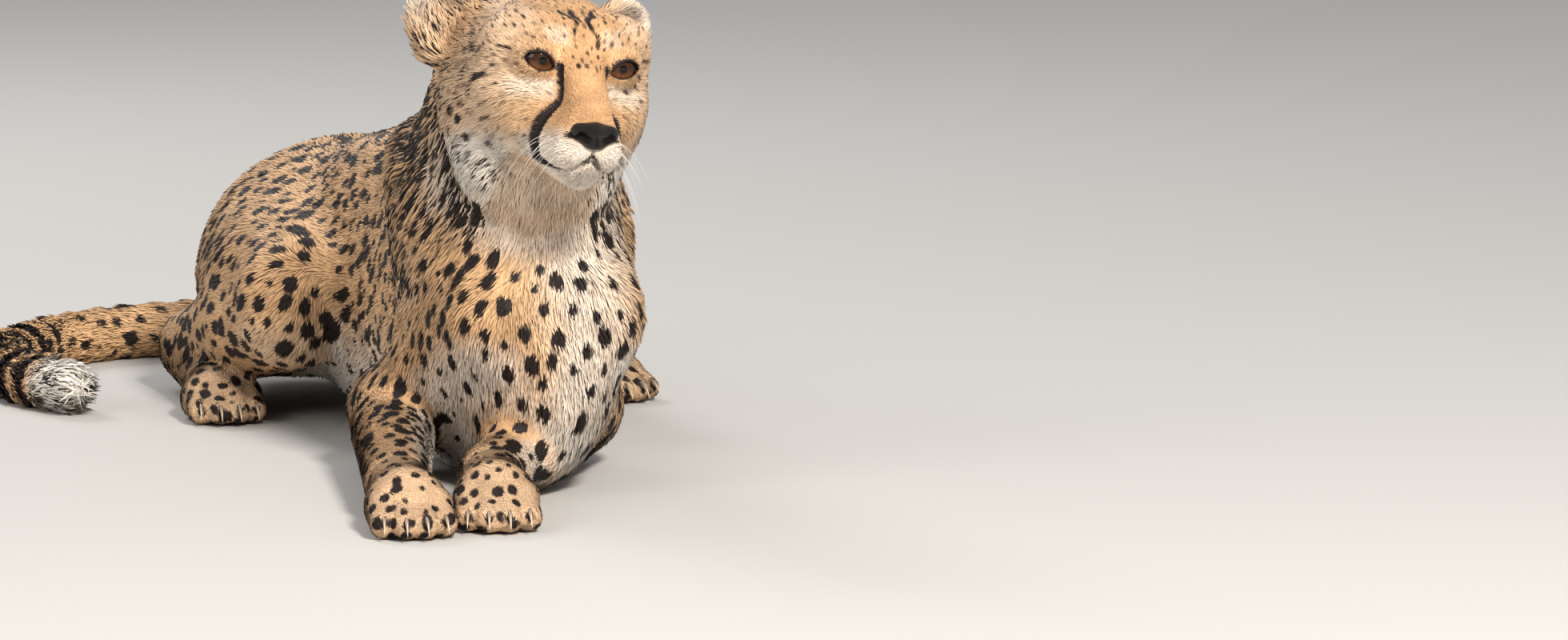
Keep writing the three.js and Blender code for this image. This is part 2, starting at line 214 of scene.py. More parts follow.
def hip_joint(side):
    return np.array([side * 46, T - 122, C - 84])


ELBOW = {"right": np.array([-74, 74, 50]), "left": np.array([60, 62, 50])}
FOREARM_TURN = {"right": -0.22, "left": -0.51}
FORE_PAW_TURN = {"right": -0.12, "left": -0.2}
STIFLE = {"right": np.array([-94, 306, 102]), "left": np.array([110, 300, 104])}
HEEL = {"right": np.array([-120, 548, 42]), "left": np.array([132, 584, 42])}
HIND_PAW_TURN = {"right": -0.08, "left": 0.24}


def ahead(turn):
    return np.array([math.sin(turn), -math.cos(turn), 0])


def along(a, b):
    return np.array(b, float) - np.array(a, float)


def torso():
    masses = [
        taper((0, 60, 194), (0, 280, 184), 44, 46, BACKWARD, 17, 34),
        taper((0, 280, 184), (0, T - 130, C - 54), 46, 50, BACKWARD, 17, 3),
        egg((0, 86, 112), (CHEST_HALF / MM, 200, 124), FLANK, 15, 34),
        egg((0, F + 70, 96), (54, 70, 84), DOWN, 15, 34),
        egg((0, 330, 99), (74, 200, 103), FLANK, 17, 34),
        egg((0, T - 120, C - 92), (84, 126, 90), (0, 1, -0.5), 16, 34),
    ]
    for side in (-1, 1):
        masses.append(taper(shoulder_joint(side), (side * 50, 62, W - 30), 33, 29, (0, 0.55, -0.85), 14, 34))
    return masses


def neck():
    occiput = in_mm(on_head(0, 106, -30))
    nape = in_mm(on_head(-10, 114, -16))
    throat = in_mm(on_head(0, 88, -52))
    return [
        taper((0, 12, 172), occiput, 76, 60, (0, 0.75, -0.7), 20, 34),
        taper((-4, 62, 194), nape, 66, 50, (0, 0.85, -0.6), 26, 34),
        taper((0, -54, 142), throat, 48, 38, (0, 0.15, -1), 8, 34),
    ]


def head():
    masses = [
        head_egg(0, 77, -3, (61, 75, 46), (0, 1, 0.1), 5),
        head_taper((0, 96, -20), (0, 66, -26), 58, 48, (0, 1, -0.45), 13),
        head_taper((0, 12, 2), (0, -32, -31), 17, 13, (0, 0.8, 0.6), 2.2),
        head_taper((0, 26, -38), (0, -22, -48), 28, 18, (0, 1, -0.1), 3),
        head_taper((0, -22, -72), (0, 40, -58), 12, 22, (0, 0.9, -0.6), 9),
    ]
    for s in (-1, 1):
        masses += [
            head_egg(s * 31.5, 58, -26, (34, 54, 38), (s * 0.35, 0.9, -0.45), 9),
            head_taper((s * 16, 18, 14), (s * 38, 38, 12), 14, 21, (s * 0.3, 0.8, 0.5), 3.5),
            head_taper((s * 10, -30, -57), (s * 13, -4, -56), 13.5, 15.5, (s * 0.6, 0.8, -0.35), 4),
            head_taper((s * 21, 26, -42), (s * 34, 66, -48), 22, 27, (s * 0.3, 0.9, -0.5), 7, 24),
            head_taper((s * 38, 82, -42), (s * 26, 76, -76), 28, 24, (s * 0.2, 0.7, -0.8), 13, 24),
            head_taper((s * 26, 76, -76), (s * 4, 72, -94), 24, 18, (s * 0.1, 0.5, -0.9), 11, 24),
        ]
    return masses


def upper_limbs():
    masses = []
    for name, s in SIDES.items():
        joint, elbow = shoulder_joint(s), ELBOW[name]
        muscle = (joint + elbow) / 2 + np.array([-14 * s, 22, 44])
        hip, stifle = hip_joint(s), STIFLE[name]
        buttock = hip + np.array([8 * s, 62, -34])
        ham = stifle + (buttock - stifle) * 0.4
        masses += [
            taper(joint, elbow, 30, 29, (0, 0.5, -1), 13, 26),
            egg(muscle, (33, 80, 68), (0, 0.4, -0.9), 14, 26),
            taper(hip, stifle, 68, 42, (0, 0.75, -0.65), 14, 34),
            taper(buttock, (ham[0], ham[1], 82), 52, 56, (0, 0.6, -0.8), 15, 34),
        ]
    return masses


def toes(wrist, turn, length, wide):
    """The four toes of a paw: knuckle, tip and direction of each, from the animal's left to its right."""
    forward = ahead(turn)
    across = np.array([-forward[1], forward[0], 0])
    found = []
    for i in (-1.5, -0.5, 0.5, 1.5):
        tip = length - 13 - i * i * 4.5
        x = i * wide / 4.4
        base = np.array([wrist[0], wrist[1], 0])
        found.append({
            "knuckle": base + across * x * 0.94 + forward * (tip - 26) + (0, 0, 20),
            "tip": base + across * x * 1.08 + forward * tip + (0, 0, 10),
            "direction": forward + across * i * 0.06,
        })
    return found


def wrist_of(name):
    elbow = ELBOW[name]
    wrist = elbow + ahead(FOREARM_TURN[name]) * FOREARM / MM
    return np.array([wrist[0], wrist[1], 25])


TOES = {}
for side_name in SIDES:
    TOES["fore_" + side_name] = toes(wrist_of(side_name), FORE_PAW_TURN[side_name], FORE_PAW / MM, 55)
    TOES["hind_" + side_name] = toes(HEEL[side_name], HIND_PAW_TURN[side_name], HIND_FOOT / MM, 54)


def toe_masses(paw):
    masses = []
    for toe in TOES[paw]:
        d = toe["direction"]
        root = toe["knuckle"] - d * 16
        lie = (d[0], d[1], -0.35)
        masses.append(taper((root[0], root[1], 18), toe["knuckle"], 10, 11.5, lie, 3.5, 6))
        masses.append(taper(toe["knuckle"], toe["tip"], 11.5, 10.5, lie, 3.5, 3))
    return masses


def foreleg(name):
    elbow = np.array([ELBOW[name][0], ELBOW[name][1], 38])
    wrist = wrist_of(name)
    belly = elbow + (wrist - elbow) * 0.22
    forward = ahead(FORE_PAW_TURN[name])
    base = np.array([wrist[0], wrist[1], 0])
    arm = along(elbow, wrist)
    shaft = [
        taper(elbow, belly, 30, 31, arm, 9, 14),
        taper(belly, wrist, 31, 24, arm, 7, 2),
    ]
    hand = [
        taper(base + (0, 0, 24.5), base + forward * 54 + (0, 0, 21), 23.4, 23, forward, 5, 2),
        egg(base + forward * 62 + (0, 0, 14), (28, 34, 23), forward, 4, 16),
    ]
    return of_kind("leg", shaft) + of_kind("paw", hand + toe_masses("fore_" + name))


def hindleg(name):
    stifle = np.array([STIFLE[name][0], STIFLE[name][1], 84])
    heel = HEEL[name]
    calf = stifle + (heel - stifle) * 0.35
    forward = ahead(HIND_PAW_TURN[name])
    base = np.array([heel[0], heel[1], 0])
    foot = HIND_FOOT / MM
    shaft = [
        taper(stifle, calf, 40, 40, along(stifle, heel), 11, 16),
        taper(calf, heel, 40, 21, along(stifle, heel), 9, 4),
        taper(base - forward * 4 + (0, 0, 30), base + forward * 110 + (0, 0, 20), 25, 20, forward, 7, 14),
    ]
    instep = base + forward * (foot - 64) + (0, 0, 18)
    pad = [
        taper(base + forward * 110 + (0, 0, 20), instep, 20, 23, forward, 5, 3),
        egg(base + forward * (foot - 58) + (0, 0, 14), (30, 32, 22), forward, 4, 14),
    ]
    return of_kind("leg", shaft) + of_kind("paw", pad + toe_masses("hind_" + name))


TAIL_ROUTE = [
    (0, T - 40, 108), (-2, T + 22, 76), (-16, T + 76, 36), (-60, T + 112, 23), (-128, T + 112, 20),
    (-192, T + 76, 19), (-236, T + 18, 19), (-258, T - 52, 19), (-258, T - 128, 19), (-240, T - 198, 20),
]
TAIL_JOINTS = 24


def smooth_route(points, count):
    """Points at even shares of a centripetal curve through a given route."""
    p = np.array(points, float)
    p = np.vstack([2 * p[0] - p[1], p, 2 * p[-1] - p[-2]])
    fine = []
    for i in range(1, len(p) - 2):
        for t in np.linspace(0, 1, 12, endpoint=False):
            m1 = (p[i + 1] - p[i - 1]) / 2
            m2 = (p[i + 2] - p[i]) / 2
            late = 3 * t ** 2 - 2 * t ** 3
            leave = t ** 3 - 2 * t ** 2 + t
            arrive = t ** 3 - t ** 2
            fine.append((1 - late) * p[i] + leave * m1 + late * p[i + 1] + arrive * m2)
    fine = np.array(fine + [p[-2]])
    run = np.concatenate([[0], np.cumsum(np.linalg.norm(np.diff(fine, axis=0), axis=1))])
    shares = np.linspace(0, run[-1], count)
    return np.stack([np.interp(shares, run, fine[:, i]) for i in range(3)], axis=1)


TAIL_LINE = smooth_route(TAIL_ROUTE, TAIL_JOINTS + 1)


def tail_radius(t):
    """In millimetres: thinner as far as the last fifth, where the brush of the tip swells it again."""
    return 25 - 4 * math.sin(min(t, 0.8) / 0.8 * math.pi / 2) + 3 * max(t - 0.8, 0)


def tail():
    masses = []
    for i in range(TAIL_JOINTS):
        t = i / TAIL_JOINTS
        a, b = TAIL_LINE[i], TAIL_LINE[i + 1]
        far_radius = tail_radius(t + 1 / TAIL_JOINTS) - 0.1
        coat = 13 + 9 * max(0, t - 0.6) / 0.4
        masses.append(taper(a, b, tail_radius(t), far_radius, along(a, b), coat, 4))
    return masses


def ear_axes(side):
    """An ear's own axes: across it, out of its cup, and up to its tip."""
    root = on_head(side * EAR_APART[side], 106, -3)
    rise = on_head(side * (EAR_APART[side] + 27), 110, 34) - root
    rise /= np.linalg.norm(rise)
    facing = on_head(side * 76, 56, 2) - root
    facing -= rise * (facing @ rise)
    facing /= np.linalg.norm(facing)
    return root, np.stack([np.cross(rise, facing), facing, rise], axis=1)


def ear_egg(side, place, size, coat):
    """A round mass of the ear, placed in millimetres in the ear's own axes."""
    root, turn = ear_axes(side)
    centre = root + turn @ (np.array(place, float) * MM)
    return Mass(turn[:, 2], coat, 10, centre=centre, size=size, turn=turn)


def ear(side):
    tip = EAR_HEIGHT / MM
    return [
        ear_egg(side, (0, 0, tip - 27), (27, 12, 27), 6),
        ear_egg(side, (0, -3, 4), (26, 18, 22), 8),
    ]


def ear_cup(side):
    return ear_egg(side, (0, 12, EAR_HEIGHT / MM - 26), (20, 15, 22), 6)


MAIN = (of_kind("trunk", torso()) + of_kind("neck", neck()) + of_kind("thigh", upper_limbs())
        + of_kind("head", head()))
LIMBS = {
    "fore_left": (foreleg("left"), 20), "fore_right": (foreleg("right"), 20),
    "hind_left": (hindleg("left"), 12), "hind_right": (hindleg("right"), 12),
    "tail": (of_kind("tail", tail()), 30),
    "ear_left": (of_kind("ear", ear(1)), 6), "ear_right": (of_kind("ear", ear(-1)), 6),
}
CUPS = {"ear_left": ear_cup(1), "ear_right": ear_cup(-1)}
COAT_SHARE = 0.26      # how deep the skin lies, as a share of the coat's length
FLOOR_GAP = 0.6 * MM   # how far the skin stays above the floor it rests on
BLEND = 7 * MM         # how far the lie of one mass's coat reaches into its neighbour's
BATCH = 8000           # places worked out at a time, near one another, so that far masses are left out
NEAR_MASS = 60 * MM    # a mass further than this beyond the nearest one doesn't shape the coat
WORKERS = ThreadPoolExecutor(4)


def union(masses, points, sums):
    """The melted distance to some masses; each one's coat adds to the running sums."""
    total = None
    for m in masses:
        d = m.distance(points)
        weight = np.exp(-np.clip(d, -0.03, 0.2) / BLEND)
        sums[:, 0] += weight
        sums[:, 1] += weight * m.coat
        sums[:, 2:5] += weight[:, None] * m.lie
        sums[:, 5 + m.kind] += weight
        total = d if total is None else soft_min(total, d, m.melt)
    return total


def batch_field(points, sums):
    """Distance to the coat's outer surface at places that lie near one another."""
    centre = points.mean(axis=0)
    reach = np.linalg.norm(points - centre, axis=1).max()
    middle = centre[None]
    every = MAIN + [m for masses, _ in LIMBS.values() for m in masses]
    far = np.array([m.distance(middle)[0] for m in every])
    limit = far.min() + 2 * reach + NEAR_MASS
    near = {id(m) for m, d in zip(every, far) if d < limit}
    kept = [m for m in MAIN if id(m) in near]
    main = union(kept, points, sums) if kept else np.full(len(points), 1.0)
    total = main
    for name, (masses, melt) in LIMBS.items():
        kept = [m for m in masses if id(m) in near]
        if not kept:
            continue
        limb = union(kept, points, sums)
        if name in CUPS:
            limb = soft_max(limb, -CUPS[name].distance(points), 5 * MM)
        total = np.minimum(total, soft_min(main, limb, melt * MM))
    return total


def coat_field(points):
    """Distance to the coat's outer surface, with the coat's traits at each point: length, lie and kinds."""
    points = np.asarray(points, float)
    cells = np.floor(points / NEAR_MASS).astype(int)
    order = np.lexsort((cells[:, 2], cells[:, 0], cells[:, 1]))
    total = np.empty(len(points))
    sums = np.zeros((len(points), 5 + len(KINDS)))
    sums[:, 0] = 1e-12

    def work_out(some):
        part = sums[some]
        total[some] = batch_field(points[some], part)
        sums[some] = part

    batches = [order[start:start + BATCH] for start in range(0, len(points), BATCH)]
    if len(batches) > 1:
        list(WORKERS.map(work_out, batches))
    elif batches:
        work_out(batches[0])
    return total, sums[:, 1:] / sums[:, :1]


# ---------------------------------------------------------------- the head's folds, lids and mouth
def line_distance(points, a, b):
    """Distance to the straight line from a to b, and the share of the way along it."""
    t = np.clip((points - a) @ (b - a) / ((b - a) @ (b - a)), 0, 1)
    return np.linalg.norm(points - a - t[:, None] * (b - a), axis=1), t


def chain_distance(points, route):
    """Distance to a chain of straight lines, and the share of the way along it."""
    best = np.full(len(points), 1.0)
    share = np.zeros(len(points))
    for i in range(len(route) - 1):
        d, t = line_distance(points, route[i], route[i + 1])
        nearer = d < best
        best = np.where(nearer, d, best)
        share = np.where(nearer, (i + t) / (len(route) - 1), share)
    return best, share


def eye_centre(side):
    return on_head(side * EYE_SPACING / MM / 2, EYE_RADIUS / MM - 1, 0)


LID_RADIUS = EYE_RADIUS + 2.0 * MM
SOCKET_RADIUS = EYE_RADIUS + 0.25 * MM
EYE_HALF_WIDE = 11.2 * MM
EYE_HALF_HIGH = 6.8 * MM
EYE_SLANT = 0.26       # how much lower the inner corner of the eye lies, in radians
EYE_OUTWARD = 0.16     # how far each eye's opening turns outwards, in radians
UPPER_LID_DROP = 2.8 * MM
LOWER_LID_RISE = 0.3 * MM
LID_LEAN = 0.18        # how far the lower lid is fuller towards the outer corner
LID_DEPTH = 4 * MM     # the opening begins this far in front of the eyeball's middle
LID_EDGE = 1.2 * MM    # how round the lids' edges are
LID_MELT = 5 * MM      # how softly the lids run into the face


def eye_axes(side):
    """An eye opening's axes: outwards along it, forwards out of it, and upwards."""
    turn = Euler((0, 0, side * EYE_OUTWARD)).to_matrix()
    slant = Euler((0, -side * EYE_SLANT, 0)).to_matrix()
    axes = np.array(turn @ slant)
    return HEAD_TURN @ axes @ np.diag([side, -1, 1])


def eye_opening(points, side):
    """Distance-like field of the almond between the lids, below zero inside it."""
    q = (points - eye_centre(side)) @ eye_axes(side)
    depth = np.maximum(q[:, 1], LID_DEPTH)
    flare = 1 + 0.25 * np.maximum(depth - LID_RADIUS, 0) / LID_RADIUS
    x = q[:, 0] / flare
    z = q[:, 2] / flare
    lean = LID_LEAN * x
    radius = (EYE_HALF_WIDE ** 2 + EYE_HALF_HIGH ** 2) / (2 * EYE_HALF_HIGH)
    drop = radius - EYE_HALF_HIGH
    upper = np.hypot(x + lean * 0.3, z + drop + UPPER_LID_DROP) - radius
    lower = np.hypot(x - lean * 0.5, z - drop - LOWER_LID_RISE) - radius
    return np.maximum(np.maximum(upper, lower), LID_DEPTH - q[:, 1])


MOUTH = [(-25, -4, -65), (-21, -18, -71), (-15, -32, -74), (-8.5, -42, -71), (0, -46, -61.5),
         (8.5, -42, -71), (15, -32, -74), (21, -18, -71), (25, -4, -65)]
PHILTRUM = [(0, -52, -52), (0, -50, -56), (0, -46, -61.5)]
TEAR = [(18.5, -4, -4), (17.5, -6, -12), (15.5, -9, -20), (17, -11, -25.5), (23, -11, -31),
        (27.5, -10, -37), (28.5, -8, -45), (28, -6, -53), (25, -6, -63)]


def mirrored(route):
    return [(-x, y, z) for x, y, z in route]


def finer(route, parts=4):
    """A route with every length cut into so many parts."""
    marks = np.arange(len(route))
    fine = np.linspace(0, len(route) - 1, (len(route) - 1) * parts + 1)
    return [[np.interp(at, marks, values) for values in np.transpose(route)] for at in fine]


def on_skin(route, steps=8):
    """A route given in the head's own axes, in millimetres, moved onto the skin."""
    points = np.array([on_head(*p) for p in route])
    for _ in range(steps):
        points = points - normals_of(plain_skin, points) * plain_skin(points)[:, None]
    return points


def plain_skin(points):
    total, traits = coat_field(points)
    return soft_max(total + traits[:, 0] * COAT_SHARE, FLOOR_GAP - points[:, 2], 3 * MM)


def gradient(field, points, apart=0.4 * MM):
    """The field's slope, from four places round each point."""
    corners = np.array([(1, -1, -1), (-1, -1, 1), (-1, 1, -1), (1, 1, 1)], float)
    slope = np.zeros_like(points)
    for corner in corners:
        slope += corner * field(points + corner * apart)[:, None]
    return slope / (4 * apart)


def normals_of(field, points):
    return unit(gradient(field, points))


FACE_LINES = {
    "mouth": on_skin(MOUTH),
    "philtrum": on_skin(PHILTRUM),
    "tear_left": on_skin(TEAR),
    "tear_right": on_skin(mirrored(TEAR)),
}
GROOVES = {        # half width and melt of each line's groove, in millimetres
    "mouth": (2.3, 1.6), "philtrum": (1.1, 1.5), "tear_left": (0.3, 3.0), "tear_right": (0.3, 3.0),
}
FACE_MIDDLE = on_head(0, 0, -25)
FOLDS_WITHIN = 85 * MM     # how far from the middle of the face its folds reach
LINES_WITHIN = 90 * MM     # how far its drawn lines reach


def skin_field(points):
    """Distance to the skin: the coat's field sunk by the coat's depth, with the face's folds."""
    total = plain_skin(points)
    near = close_to(FACE_MIDDLE, points, FOLDS_WITHIN)
    if not near.any():
        return total
    face = points[near]
    d = total[near]
    for side in (-1, 1):
        centre = eye_centre(side)
        ball = np.linalg.norm(face - centre, axis=1)
        opening = eye_opening(face, side)
        lids = soft_max(ball - LID_RADIUS, -opening, LID_EDGE)
        d = soft_min(d, lids, LID_MELT)
        d = soft_max(d, -np.maximum(opening, SOCKET_RADIUS - 1 * MM - ball), LID_EDGE)
        d = np.maximum(d, SOCKET_RADIUS - ball)
    for name, (width, melt) in GROOVES.items():
        away, _ = chain_distance(face, FACE_LINES[name])
        d = soft_max(d, width * MM - away, melt * MM)
    total = total.copy()
    total[near] = d
    return total


# ---------------------------------------------------------------- the skin's mesh
class Lens:
    """A bend of space that packs the mesh's even cells closer together round a centre."""

    def __init__(self, centre, finest, near, far):
        self.centre = np.array(centre, float)
        r = np.linspace(0, 3.0, 6001)
        t = np.clip((r - near) / (far - near), 0, 1)
        size = finest + (1 - finest) * t * t * (3 - 2 * t)
        steps = np.diff(r) * (1 / size[1:] + 1 / size[:-1]) / 2
        self.real = r
        self.even = np.concatenate([[0], np.cumsum(steps)])

    def bend(self, points, before, after):
        away = points - self.centre
        r = np.linalg.norm(away, axis=-1, keepdims=True)
        return self.centre + away * np.interp(r, before, after) / np.maximum(r, 1e-9)

    def to_real(self, points):
        return self.bend(points, self.even, self.real)

    def to_even(self, points):
        return self.bend(points, self.real, self.even)


FACE_LENS = Lens(on_head(0, 0, -20), 0.2, 0.02, 0.26)
CELL = 7.5 * MM        # the side of a cell before the lens
BLOCK = 8              # cells along each side of a block
ROOM_LOW = (-0.32, -0.34, -0.03)
ROOM_HIGH = (0.22, 0.80, 0.40)
SKIN_DEPTH = 4 * MM    # about how far the skin lies under the coat's surface
SKIN_SLACK = 31 * MM   # how much further the folds and the coat's length can put it
BLOCK_SPARE = 1.25     # a bent block's corners can lie this much further out than two of them show


def grid_of(*ranges):
    """Every place on a grid, one to a row."""
    return np.stack(np.meshgrid(*ranges, indexing="ij"), axis=-1).reshape(-1, len(ranges))


def sampled_field(low, blocks):
    """The skin's field on the grid's corners: exact near the surface, only its sign elsewhere."""
    corners = grid_of(*[np.arange(n) for n in blocks])
    half = BLOCK * CELL / 2
    middles = FACE_LENS.to_real(low + corners * BLOCK * CELL + half)
    far, _ = coat_field(middles)
    near_corner = FACE_LENS.to_real(low + corners * BLOCK * CELL) - middles
    far_corner = FACE_LENS.to_real(low + (corners + 1) * BLOCK * CELL) - middles
    reach = np.maximum(np.linalg.norm(near_corner, axis=1), np.linalg.norm(far_corner, axis=1))
    reach = np.minimum(reach * BLOCK_SPARE, half * math.sqrt(3))
    size = np.array(blocks) * BLOCK + 1
    values = np.ones(size, np.float32)
    for x, y, z in corners[far < -(reach + SKIN_SLACK + SKIN_DEPTH)] * BLOCK:
        values[x:x + BLOCK + 1, y:y + BLOCK + 1, z:z + BLOCK + 1] = -1
    close = corners[np.abs(far + SKIN_DEPTH) <= reach + SKIN_SLACK]
    index = (close[:, None] * BLOCK + grid_of(*[np.arange(BLOCK + 1)] * 3)[None]).reshape(-1, 3)
    flat = np.unique(np.ravel_multi_index(index.T, size))
    index = np.stack(np.unravel_index(flat, size), axis=1)
    values.reshape(-1)[flat] = skin_field(FACE_LENS.to_real(low + index * CELL))
    return values


def stepped_back(cells, u, v, du, dv):
    """The index of cells du back along axis u and dv back along axis v."""
    cells = cells.copy()
    cells[:, u] -= du
    cells[:, v] -= dv
    return tuple(cells.T)


def surface_nets(values):
    """A closed mesh of four-sided faces through a field's zero: one vertex to each cell it crosses."""
    size = np.array(values.shape)
    inside = values < 0
    sums = np.zeros((*(size - 1), 3), np.float32)
    count = np.zeros(size - 1, np.float32)
    crossings = []
    for axis in range(3):
        low = tuple(slice(0, -1) if k == axis else slice(None) for k in range(3))
        high = tuple(slice(1, None) if k == axis else slice(None) for k in range(3))
        edge = np.argwhere(inside[low] != inside[high])
        at = tuple(edge.T)
        a, b = values[low][at], values[high][at]
        place = edge.astype(np.float32)
        place[:, axis] += a / (a - b)
        crossings.append((axis, edge, inside[low][at]))
        u, v = [k for k in range(3) if k != axis]
        for du, dv in np.ndindex(2, 2):
            cell = stepped_back(edge, u, v, du, dv)
            np.add.at(sums, cell, place)
            np.add.at(count, cell, 1)
    used = count > 0
    number = np.full(size - 1, -1)
    number[used] = np.arange(used.sum())
    vertices = sums[used] / count[used][:, None]
    faces = []
    for axis, edge, solid_below in crossings:
        u, v = (axis + 1) % 3, (axis + 2) % 3
        ring = ((1, 1), (0, 1), (0, 0), (1, 0))
        quads = np.stack([number[stepped_back(edge, u, v, du, dv)] for du, dv in ring], axis=1)
        quads[~solid_below] = quads[~solid_below][:, ::-1]
        faces.append(quads)
    return vertices, np.concatenate(faces)


def settle_on(field, points, rounds=3, longest=3 * MM):
    """Moves points along the field's slope onto its zero."""
    for _ in range(rounds):
        slope = gradient(field, points)
        steep = np.maximum((slope ** 2).sum(axis=1), 0.3)
        move = slope * (field(points) / steep)[:, None]
        length = np.linalg.norm(move, axis=1, keepdims=True)
        points = points - move * np.minimum(1, longest / np.maximum(length, 1e-9))
    return points


def skin_shape():
    """The skin's vertices, in the animal's own axes, and its faces."""
    rim = grid_of(*[np.linspace(a, b, 12) for a, b in zip(ROOM_LOW, ROOM_HIGH)])
    rim = FACE_LENS.to_even(rim)
    low = rim.min(axis=0)
    blocks = np.ceil((rim.max(axis=0) - low) / (BLOCK * CELL)).astype(int)
    vertices, faces = surface_nets(sampled_field(low, blocks))
    points = FACE_LENS.to_real(low + vertices.astype(float) * CELL)
    return settle_on(skin_field, points), faces


# ---------------------------------------------------------------- noise, tones and markings
NOISE_SIDE = 32
NOISE_TABLE = rng.random((NOISE_SIDE, NOISE_SIDE, NOISE_SIDE, 3))


def noise(points, size, shift=0.0):
    """Smooth noise in three channels, from -1 to 1, whose features are about `size` across."""
    q = points / size + shift
    base = np.floor(q).astype(int)
    t = q - base
    t = t * t * (3 - 2 * t)
    total = np.zeros((len(points), 3))
    for corner in np.ndindex(2, 2, 2):
        i = (base + corner) % NOISE_SIDE
        weight = np.prod(np.where(corner, t, 1 - t), axis=1)
        total += weight[:, None] * NOISE_TABLE[i[:, 0], i[:, 1], i[:, 2]]
    return total * 2 - 1


def step(low, high, value):
    t = np.clip((value - low) / (high - low), 0, 1)
    return t * t * (3 - 2 * t)


class Site:
    """What is known of places on the skin: where they lie on the animal and what coat grows there."""

    def __init__(self, points, normals, traits):
        self.points = points
        self.normals = normals
        self.x, self.y, self.z = points.T / MM
        self.hx, self.hy, self.hz = ((points - on_head(0, 0, 0)) @ HEAD_TURN / MM).T
        self.facing = normals @ HEAD_TURN
        self.coat = traits[:, 0]
        self.lie = unit(less_along(traits[:, 1:4], normals))
        self.kinds = dict(zip(KINDS, traits[:, 4:].T))
        self.rough = noise(points, 26 * MM)
        self.tail = tail_share(points)
        self.cup = np.zeros(len(points))            # how squarely the ear's skin faces out of its cup
        self.ear_height = np.zeros(len(points))     # the share of the way from the ear's root to its tip
        for side in (-1, 1):
            root, turn = ear_axes(side)
            on_ear = close_to(root, points, 1.6 * EAR_HEIGHT)
            height = ((points - root) @ turn)[:, 2] / EAR_HEIGHT
            self.cup = np.where(on_ear, (normals @ turn)[:, 1], self.cup)
            self.ear_height = np.where(on_ear, height, self.ear_height)


def survey(points):
    _, traits = coat_field(points)
    return Site(points, normals_of(skin_field, points), traits)


RUFF = [(66, 112, -14), (63, 102, -42), (50, 97, -80), (30, 91, -106)]
BREAST_PATCH_TO_LIGHT = 22      # how far the middle of the breast's pale patch lies towards the left, in millimetres; it is moved to the side where light fell, so partly a painted pool of light
CLOSEST_SPOTS = 0.75   # the least distance between spots, as a share of the planned spacing
SPOT_BOX = 40 * MM     # spots are kept in boxes wider than any spacing, so that only near ones are compared
SPOT_DEPTH = 14 * MM   # how far over or under the skin a spot still marks the hair
MARK_FULL = 3.0        # a depth at which a marking is wholly dark, in millimetres
FAR_OUT = -30.0        # a depth that means far outside every marking, in millimetres
TAIL_RINGS = 6
TAIL_RINGS_FROM = 0.56
TAIL_RINGS_TO = 0.93
TAIL_WITHIN = 45 * MM
RUFF_LINES = [on_skin(mirrored(RUFF)), on_skin(RUFF)]


def pale_share(site):
    """How far the ground colour goes to cream: underparts, face, inner legs and ears, and the tail's tip; the
    breast's patch is partly a painted pool of light.
    """
    n, k, rough = site.normals, site.kinds, site.rough[:, 0]
    hx, hy, hz = np.abs(site.hx), site.hy, site.hz
    trunk = k["trunk"] + k["neck"]
    # the cream breast patch, shifted to the animal's left where light fell: partly the breast's own colour,
    # partly a painted pool of light
    side = np.abs(site.x - BREAST_PATCH_TO_LIGHT) + 8 * rough
    breast = step(50, 12, side) * step(10, -50, site.y) * step(-0.1, -0.5, n[:, 1]) * trunk * 0.72
    belly = step(0.05, -0.6, n[:, 2]) * (trunk + k["thigh"])
    throat = k["neck"] * step(0.15, -0.45, n[:, 2] + 0.4 * n[:, 1]) * step(60, -60, site.y) * 0.85
    inner = (k["leg"] + k["thigh"] * 0.6) * step(0.1, 0.8, -n[:, 0] * np.sign(site.x)) * 0.7
    muzzle = step(-45, -62, hz + 0.12 * hy + 5 * rough) * step(36, 2, hy) * 0.8
    chin = step(-64, -72, hz) * step(20, 0, hy) * 0.9
    ruff = step(-46, -66, hz + 8 * rough) * step(26, 38, hx)
    cheek = step(24, 36, hx) * step(-10, 30, hy) * (0.22 + 0.78 * ruff)
    under_eye = step(14, 20, hx) * step(-9, -13, hz) * step(-32, -20, hz) * step(30, 0, hy) * 0.5
    brow = step(9, 14, hx) * step(30, 24, hx) * step(9, 12, hz) * step(26, 18, hz) * step(34, 20, hy) * 0.3
    under_jaw = step(-60, -74, hz) * step(16, 34, hy) * 0.6
    face = np.maximum.reduce([muzzle, chin, cheek, under_eye, brow, under_jaw]) * k["head"]
    tail_end = step(TAIL_RINGS_TO, 0.97, site.tail) * k["tail"]
    in_ear = k["ear"] * (0.2 + 0.45 * step(0.4, 0.9, site.ear_height)) * step(-0.1, 0.3, site.cup)
    pale = np.maximum.reduce([breast, belly, throat, inner, k["paw"] * 0.15, face, tail_end, in_ear])
    return np.clip(pale, 0, 1)


def on_spine(site):
    level = step(0.55, 0.9, site.normals[:, 2])
    return step(46, 14, np.abs(site.x)) * level * (site.kinds["trunk"] + site.kinds["neck"])


def rust_share(site):
    """How rusty the ground colour is: the bridge of the nose, the crown and the spine."""
    head = site.kinds["head"]
    bridge = head * step(34, 16, np.abs(site.hx)) * step(-48, -34, site.hz) * step(80, 30, site.hy) * 0.8
    crown = head * step(0.2, 0.8, site.facing[:, 2]) * 0.5
    return np.clip(np.maximum.reduce([bridge, crown, on_spine(site) * 0.35]), 0, 1)


